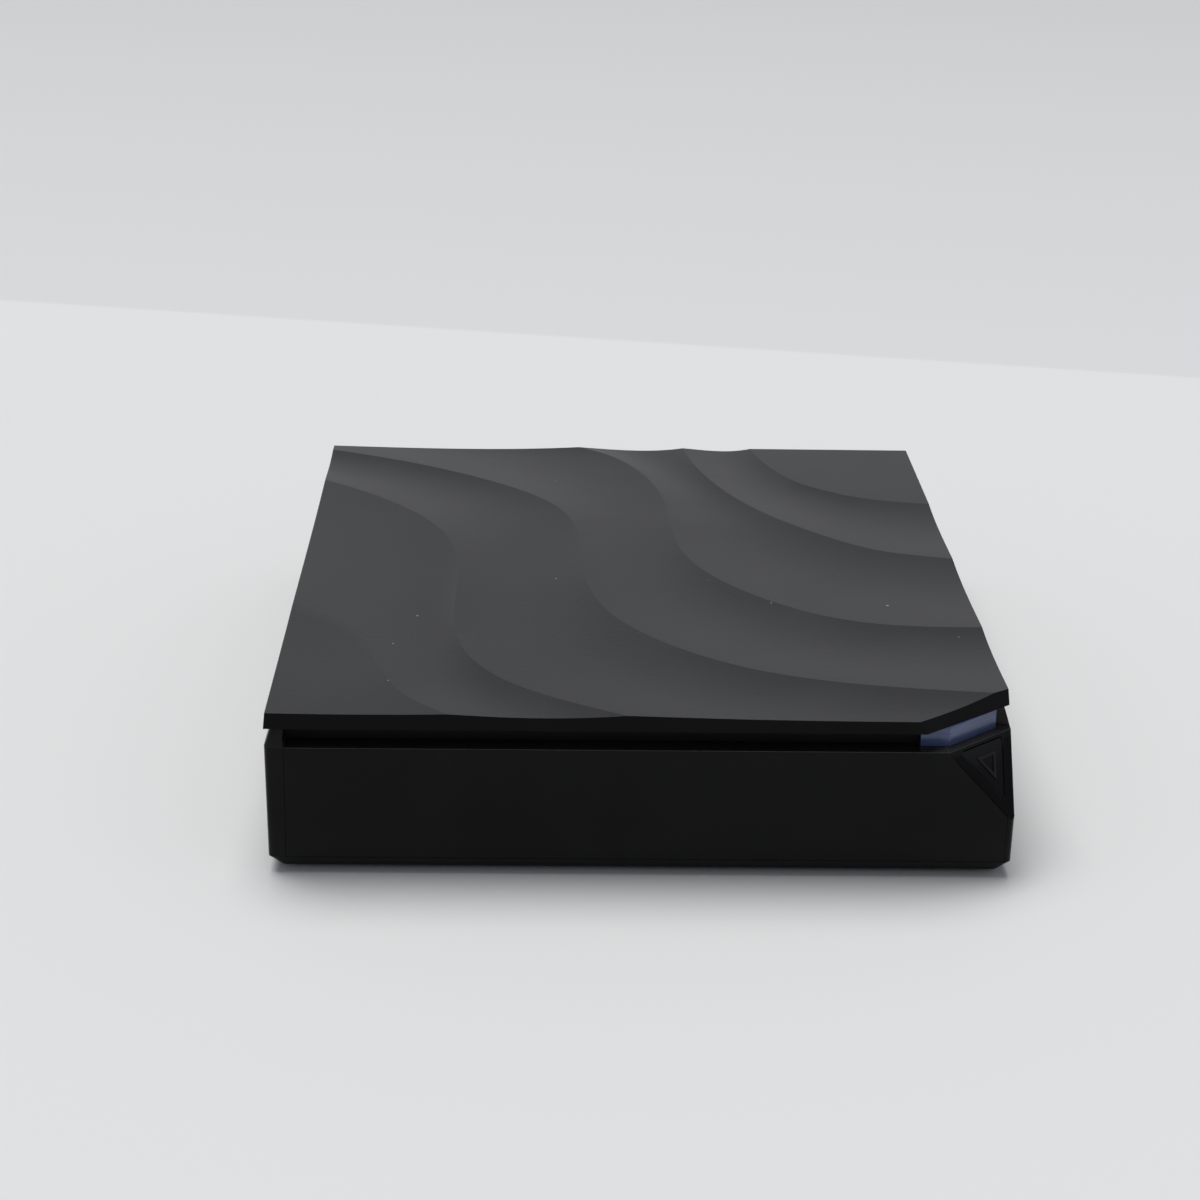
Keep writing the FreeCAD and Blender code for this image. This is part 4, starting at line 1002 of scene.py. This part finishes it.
def strip_tree() -> NodeTree:
    """Geometry tree that lays an even row of contact strips round each point.

    Returns:
        The tree, whose points are the middles of the rows.
    """
    g = Maker("contact_strips", {
        "Count": ("Int", 4), "Pitch": ("Vector", (2.0 * MM, 0.0, 0.0)),
        "Strip Size": ("Vector", (1.0 * MM, 6.0 * MM, 0.1 * MM))})
    back = g.math("MULTIPLY", g.math("SUBTRACT", g["Count"], 1.0), -0.5)
    start = g.take("ShaderNodeVectorMath", "Vector", {"Vector": g["Pitch"], "Scale": back},
                   operation="SCALE")
    row = g.take("GeometryNodeMeshLine", "Mesh", mode="OFFSET", inputs={
        "Count": g["Count"], "Start Location": start, "Offset": g["Pitch"]})
    strip = g.take("GeometryNodeMeshCube", "Mesh", {"Size": g["Strip Size"]})
    for points in (row, g["Geometry"]):
        strip = g.take("GeometryNodeInstanceOnPoints", "Instances",
                       {"Points": points, "Instance": strip})
    return g.finished(strip)


def point_mesh(name: str, points: list[Vector], axis: Vector | None = None) -> Mesh:
    """A mesh of loose points, each with an axis where one is given.

    Args:
        name: the mesh's name.
        points: the points.
        axis: the axis that all of them get.

    Returns:
        The mesh.
    """
    mesh = bpy.data.meshes.new(name)
    mesh.from_pydata([tuple(p) for p in points], [], [])
    if axis is not None:
        mark = mesh.attributes.new("axis", "FLOAT_VECTOR", "POINT")
        mark.data.foreach_set("vector", np.tile(np.array(axis, np.float32), len(points)))
    return mesh


@dataclass
class ScrewSet:
    """Small screws of one size that seat on one kind of face."""

    name: str
    body: Body
    seats: list[Vector]
    axis: Vector
    shank_length: float
    shank_radius: float = 1.0
    head_radius: float = 1.9
    head_height: float = 1.2
    slot_width_share: float = 0.26
    slot_depth_share: float = 0.55

    def build(self, shop: Workshop, tree: NodeTree) -> Object:
        """Makes the set as one piece.

        Args:
            shop: gives the finish.
            tree: the screw tree.

        Returns:
            The screws.
        """
        mesh = run_tree(self.name, point_mesh(self.name, self.seats, self.axis), tree,
                        Shank_Radius=self.shank_radius * MM, Shank_Length=self.shank_length * MM,
                        Head_Radius=self.head_radius * MM, Head_Height=self.head_height * MM,
                        Slot_Width=self.head_radius * self.slot_width_share * MM,
                        Slot_Depth=self.head_height * self.slot_depth_share * MM,
                        Material=shop.finish(NICKEL))
        return new_piece(self.name, mesh, self.body)


@dataclass
class Fasteners:
    """Screws of the tray, its guides and the boards, seated by the nodes that they hold."""

    tray_reach: float = 28.0
    tray_rows: Span = (5.0, 13.5)
    tray_wall: float = 1.6
    guide_foot: float = 7.0
    guide_foot_thickness: float = 1.5
    guide_inset: float = 9.6
    guide_places: tuple[float, ...] = (0.0, 0.5, 1.0)
    board_insets: tuple[Span, ...] = ((20.0, 6.0), (24.0, -6.2), (-6.0, 6.0), (-4.0, -6.2))

    def tray_seats(self) -> list[Vector]:
        """Seats on the inside of the carrier's front wall."""
        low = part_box("tray_carrier")[0]
        return [Vector((side * self.tray_reach * MM, low.y + self.tray_wall * MM,
                        low.z + row * MM)) for side in (-1, 1) for row in self.tray_rows]

    def guide_seats(self) -> list[Vector]:
        """Seats along the feet of both guides.

        Returns:
            The seats.
        """
        seats = []
        for name, side in (("tray_guide_left", -1), ("tray_guide_right", 1)):
            near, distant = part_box(name)
            outer = near.x if side < 0 else distant.x
            free = distant.y - near.y - 2 * self.guide_inset * MM
            seats += [Vector((outer - side * self.guide_foot / 2 * MM,
                              near.y + self.guide_inset * MM + free * share,
                              near.z + self.guide_foot_thickness * MM))
                      for share in self.guide_places]
        return seats

    def board_seats(self) -> list[Vector]:
        """Seats near the main board's corners, each inset from the side that its sign names."""
        low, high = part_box("main_board")
        return [Vector(((low if dx > 0 else high).x + dx * MM,
                        (low if dy > 0 else high).y + dy * MM, high.z))
                for dx, dy in self.board_insets]

    def build(self, shop: Workshop) -> None:
        """Makes every set.

        Args:
            shop: gives the finish.
        """
        tree = screw_tree()
        up, inwards = Vector((0.0, 0.0, 1.0)), Vector((0.0, 1.0, 0.0))
        for screws in (
            ScrewSet("tray_screws", Body.TRAY, self.tray_seats(), inwards, shank_length=4.0),
            ScrewSet("guide_screws", Body.CASE, self.guide_seats(), up, shank_length=2.6),
            ScrewSet("board_screws", Body.CASE, self.board_seats(), up, shank_length=6.0,
                     head_radius=2.4, head_height=1.5),
        ):
            screws.build(shop, tree)


@dataclass
class ContactRow:
    """A row of gilt strips in one kind of socket, with its sizes in millimetres."""

    name: str
    middles: list[Vector]
    count: int
    pitch: Place
    strip: Place

    def build(self, shop: Workshop, tree: NodeTree) -> Object:
        """Makes the row as one piece.

        Args:
            shop: gives the finish.
            tree: the strip tree.

        Returns:
            The strips.
        """
        mesh = run_tree(self.name, point_mesh(self.name, self.middles), tree, Count=self.count,
                        Pitch=[v * MM for v in self.pitch],
                        Strip_Size=[v * MM for v in self.strip], Material=shop.finish(GOLD))
        return new_piece(self.name, mesh, Body.CASE)


@dataclass
class Contacts:
    """Gilt strips on the sockets' tongues and in the network jack."""

    proud: float = 0.05
    data_width: float = 13.2
    data_depth: float = 5.0
    data_tongue_drop: float = 3.1
    video_depth: float = 4.4
    video_tongue_lift: float = 2.9
    network_depth: float = 7.5
    network_lift: float = 10.9

    def data_middles(self) -> list[Vector]:
        """Middles of the rows below the data sockets' tongues.

        Returns:
            One middle for the fast socket and two for the pair of plain ones.
        """
        half = self.data_width / 2 * MM
        middles = []
        for name, sockets in (("usb3_port", 1), ("usb2_ports", 2)):
            low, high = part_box(name)
            middles += [Vector((x, high.y - self.data_depth * MM,
                                high.z - (self.data_tongue_drop + self.proud) * MM))
                        for x in (low.x + half, high.x - half)[:sockets]]
        return middles

    def middle(self, node_name: str, depth: float, lift: float) -> Vector:
        """Middle of the row in a rear socket.

        Args:
            node_name: the socket's node.
            depth: how far in it lies, in millimetres.
            lift: how far the strips' face lies above the node's lowest point.

        Returns:
            The middle.
        """
        low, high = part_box(node_name)
        return Vector((low.x + depth * MM, (low.y + high.y) / 2,
                       low.z + (lift - self.proud) * MM))

    def build(self, shop: Workshop) -> None:
        """Makes every row.

        Args:
            shop: gives the finish.
        """
        tree = strip_tree()
        video = self.middle("hdmi_port", self.video_depth, self.video_tongue_lift)
        network = self.middle("ethernet_jack", self.network_depth, self.network_lift)
        for row in (
            ContactRow("data_contacts", self.data_middles(), count=4,
                       pitch=(2.2, 0.0, 0.0), strip=(1.1, 7.0, 0.1)),
            ContactRow("video_contacts", [video], count=10,
                       pitch=(0.0, 1.0, 0.0), strip=(5.6, 0.45, 0.1)),
            ContactRow("network_contacts", [network], count=8,
                       pitch=(0.0, 1.27, 0.0), strip=(8.8, 0.52, 0.1)),
        ):
            row.build(shop, tree)


# ---------------------------------------------------------------- tray front and button mark


@dataclass
class TrayFront:
    """Glossy front of the tray, its outline drawn close to the case so that the seam is fine."""

    grow: float = 0.24
    front_lean: float = 0.1
    top_rise: float = 0.9
    same_way: float = 0.999
    outer_slack: float = 0.02

    def build(self, shop: Workshop) -> Object:
        """Makes the front and hides the plain one.

        Args:
            shop: gives the finish.

        Returns:
            The front.
        """
        work = merged("tray_front")
        shifts = {vert: self.shift(work, vert) for vert in work.verts}
        for vert, shift in shifts.items():
            vert.co += shift
        mesh = closed_up(work, "tray_front_panel", shop.finish(CASE))
        piece = new_piece("tray_front_panel", mesh, Body.TRAY)
        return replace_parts(piece, "tray_front")

    def shift(self, work: BMesh, vert: BMVert) -> Vector:
        """How far a vertex moves so that each outer side face next to it moves by the growth.

        Args:
            work: the front.
            vert: the vertex.

        Returns:
            The move, nothing for a vertex that no outer side face meets.
        """
        outer: list[Vector] = []
        for face in vert.link_faces:
            n = face.normal
            if (abs(n.y) > self.front_lean or n.z > self.top_rise
                    or any(n.dot(m) > self.same_way for m in outer)):
                continue
            if max((v.co - vert.co).dot(n) for v in work.verts) < self.outer_slack * MM:
                outer.append(n.copy())
        if not outer:
            return Vector((0.0, 0.0, 0.0))
        pull = np.full(len(outer), self.grow * MM)
        return Vector(np.linalg.pinv(np.array([tuple(n) for n in outer])) @ pull)


@dataclass
class ButtonMark:
    """Printed colour on the raised three-cornered mark of the power button."""

    film: float = 0.02
    top_slack: float = 0.01

    def build(self, shop: Workshop) -> Object:
        """Lays a thin film on the mark's outer faces.

        Args:
            shop: gives the finish.

        Returns:
            The film.
        """
        work = merged("power_button")
        outward = self.facet_normal(work)
        top = max(v.co.dot(outward) for v in work.verts) - self.top_slack * MM
        spare = [f for f in work.faces if min(v.co.dot(outward) for v in f.verts) < top]
        bmesh.ops.delete(work, geom=spare, context="FACES")
        rim = [edge for edge in work.edges if edge.is_boundary]
        lower = {vert: work.verts.new(vert.co) for vert in list(work.verts)}
        for face in list(work.faces):
            work.faces.new([lower[vert] for vert in reversed(face.verts)])
        for a, b in (edge.verts for edge in rim):
            work.faces.new((a, b, lower[b], lower[a]))
        for vert in lower:
            vert.co += outward * self.film * MM
        bmesh.ops.recalc_face_normals(work, faces=work.faces)
        mesh = closed_up(work, "button_mark", shop.finish(MARK))
        return new_piece("button_mark", mesh, Body.BUTTON)

    @staticmethod
    def facet_normal(work: BMesh) -> Vector:
        """Finds the way that the button faces.

        Args:
            work: the button.

        Returns:
            The normal of its widest field that looks the cut corner's way.
        """
        way = Vector(FACET_WAY).normalized()
        fields = [f for f in work.faces if f.normal.dot(way) > FACET_MATCH]
        return max(fields, key=lambda f: f.calc_area()).normal.copy()


# ---------------------------------------------------------------- studio


@dataclass
class Studio:
    """Pale table against a paler wall tone, soft light and the camera."""

    table_tone: Tone = (0.74, 0.74, 0.73)
    wall_tone: Tone = (0.675, 0.68, 0.68)
    # painted shade: the wall tone darkens to this with distance beyond the line, over the reach
    # below
    wall_falloff_shade_tone: Tone = (0.545, 0.547, 0.545)
    wall_falloff_reach: float = 1.6
    wall_from: Span = (-232.7, 417.2)
    wall_to: Span = (213.8, 319.4)
    wall_blur: float = 0.004
    reach: float = 4.0
    paper_roughness: float = 0.85
    paper_specular: float = 0.2
    backdrop_tone: Tone = (0.62, 0.625, 0.625)
    behind_tone: Tone = (0.72, 0.725, 0.735)
    side_tone: Tone = (0.40, 0.415, 0.46)
    overhead_tone: Tone = (0.25, 0.26, 0.28)
    behind_reach: Span = (0.0, 0.75)
    level_reach: Span = (0.0, 0.70)
    lamp_way: Place = (-0.14, 0.28, 1.0)
    lamp_spread_deg: float = 45.0
    lamp_power: float = 2.36
    eye: Place = (-21.9, -628.5, 250.2)
    yaw: float = -0.0232
    pitch: float = 0.3413
    roll: float = 0.0172
    focal_pixels: float = 2740.0
    frame_pixels: float = 1200.0
    sensor: float = 36.0
    clip: Span = (0.01, 50.0)

    def build(self) -> None:
        """Makes the floor, the world, the lamp and the camera."""
        self.floor()
        self.world()
        self.lamp()
        self.camera()

    def floor(self) -> None:
        """Lays the floor, toned as a wall beyond a straight line; the wall tone darkens with
        distance as painted shade.
        """
        mesh = bpy.data.meshes.new("studio_floor")
        corners = ((-1, -1), (1, -1), (1, 1), (-1, 1))
        mesh.from_pydata([(x * self.reach, y * self.reach, 0.0) for x, y in corners], [],
                         [(0, 1, 2, 3)])
        put("studio_floor", mesh)
        shader = Shader("studio_paper")
        start, end = Vector(self.wall_from) * MM, Vector(self.wall_to) * MM
        along = (end - start).normalized()
        beyond = Vector((-along.y, along.x))
        edge = beyond.dot(start)
        way = shader.dot(shader.place, (*beyond, 0.0))
        # painted shade: the wall darkens with distance from the line
        falloff_shade = shader.ramp(way, edge, edge + self.wall_falloff_reach, "LINEAR")
        wall = shader.mix(self.wall_tone, self.wall_falloff_shade_tone, falloff_shade)
        step = shader.ramp(way, edge - self.wall_blur / 2, edge + self.wall_blur / 2)
        table = shader.math("SUBTRACT", 1.0, step)
        shader.set(Base_Color=shader.mix(wall, self.table_tone, table),
                   Roughness=self.paper_roughness, Specular_IOR_Level=self.paper_specular)
        mesh.materials.append(shader.material)

    def world(self) -> None:
        """Soft light from all round, brightest low down behind the player."""
        world = bpy.data.worlds.new("studio_world")
        world.use_nodes = True
        sky = Nodes(world.node_tree)
        way = sky.take("ShaderNodeTexCoord", "Object")
        level = sky.mix(self.side_tone, self.behind_tone,
                        sky.ramp(sky.part(way, "Y"), *self.behind_reach))
        tone = sky.mix(level, self.overhead_tone,
                       sky.ramp(sky.part(way, "Z"), *self.level_reach))
        seen = sky.take("ShaderNodeLightPath", "Is Camera Ray")
        sky.feed(sky.mix(tone, self.backdrop_tone, seen),
                 world.node_tree.nodes["Background"].inputs["Color"])
        bpy.context.scene.world = world

    def lamp(self) -> None:
        """A distant lamp with a wide disc, so that its shadows are soft."""
        data = bpy.data.lights.new("overhead_lamp", "SUN")
        data.angle = math.radians(self.lamp_spread_deg)
        data.energy = self.lamp_power
        turn = Vector(self.lamp_way).to_track_quat("Z", "Y")
        put("overhead_lamp", data).rotation_euler = turn.to_euler()

    def camera(self) -> None:
        """Stands the camera at the viewing angle and makes it the scene's own."""
        data = bpy.data.cameras.new("studio_camera")
        data.sensor_width = self.sensor
        data.lens = self.sensor * self.focal_pixels / self.frame_pixels
        data.clip_start, data.clip_end = self.clip
        turn = Matrix.Rotation(self.yaw, 3, "Z")
        right, ahead = turn @ Vector((1, 0, 0)), turn @ Vector((0, 1, 0))
        ahead = ahead * math.cos(self.pitch) - Vector((0, 0, 1)) * math.sin(self.pitch)
        above = right.cross(ahead)
        level = right * math.cos(self.roll) + above * math.sin(self.roll)
        above = above * math.cos(self.roll) - right * math.sin(self.roll)
        pose = Matrix((level, above, -ahead)).transposed().to_4x4()
        pose.translation = Vector(self.eye) * MM
        camera = put("studio_camera", data)
        camera.matrix_world = pose
        bpy.context.scene.camera = camera


def main() -> None:
    """Loads the part, dresses it and sets the studio round it."""
    logging.basicConfig(level=logging.INFO, format="%(name)s: %(message)s")
    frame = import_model()
    bpy.context.scene.view_settings.view_transform = "Standard"
    shop = Workshop()
    shop.dress_nodes(frame["nodes"])
    for part in (TopCover(), Fasteners(), Contacts(), TrayFront(), ButtonMark()):
        part.build(shop)
    Studio().build()


if __name__ == "__main__":
    main()
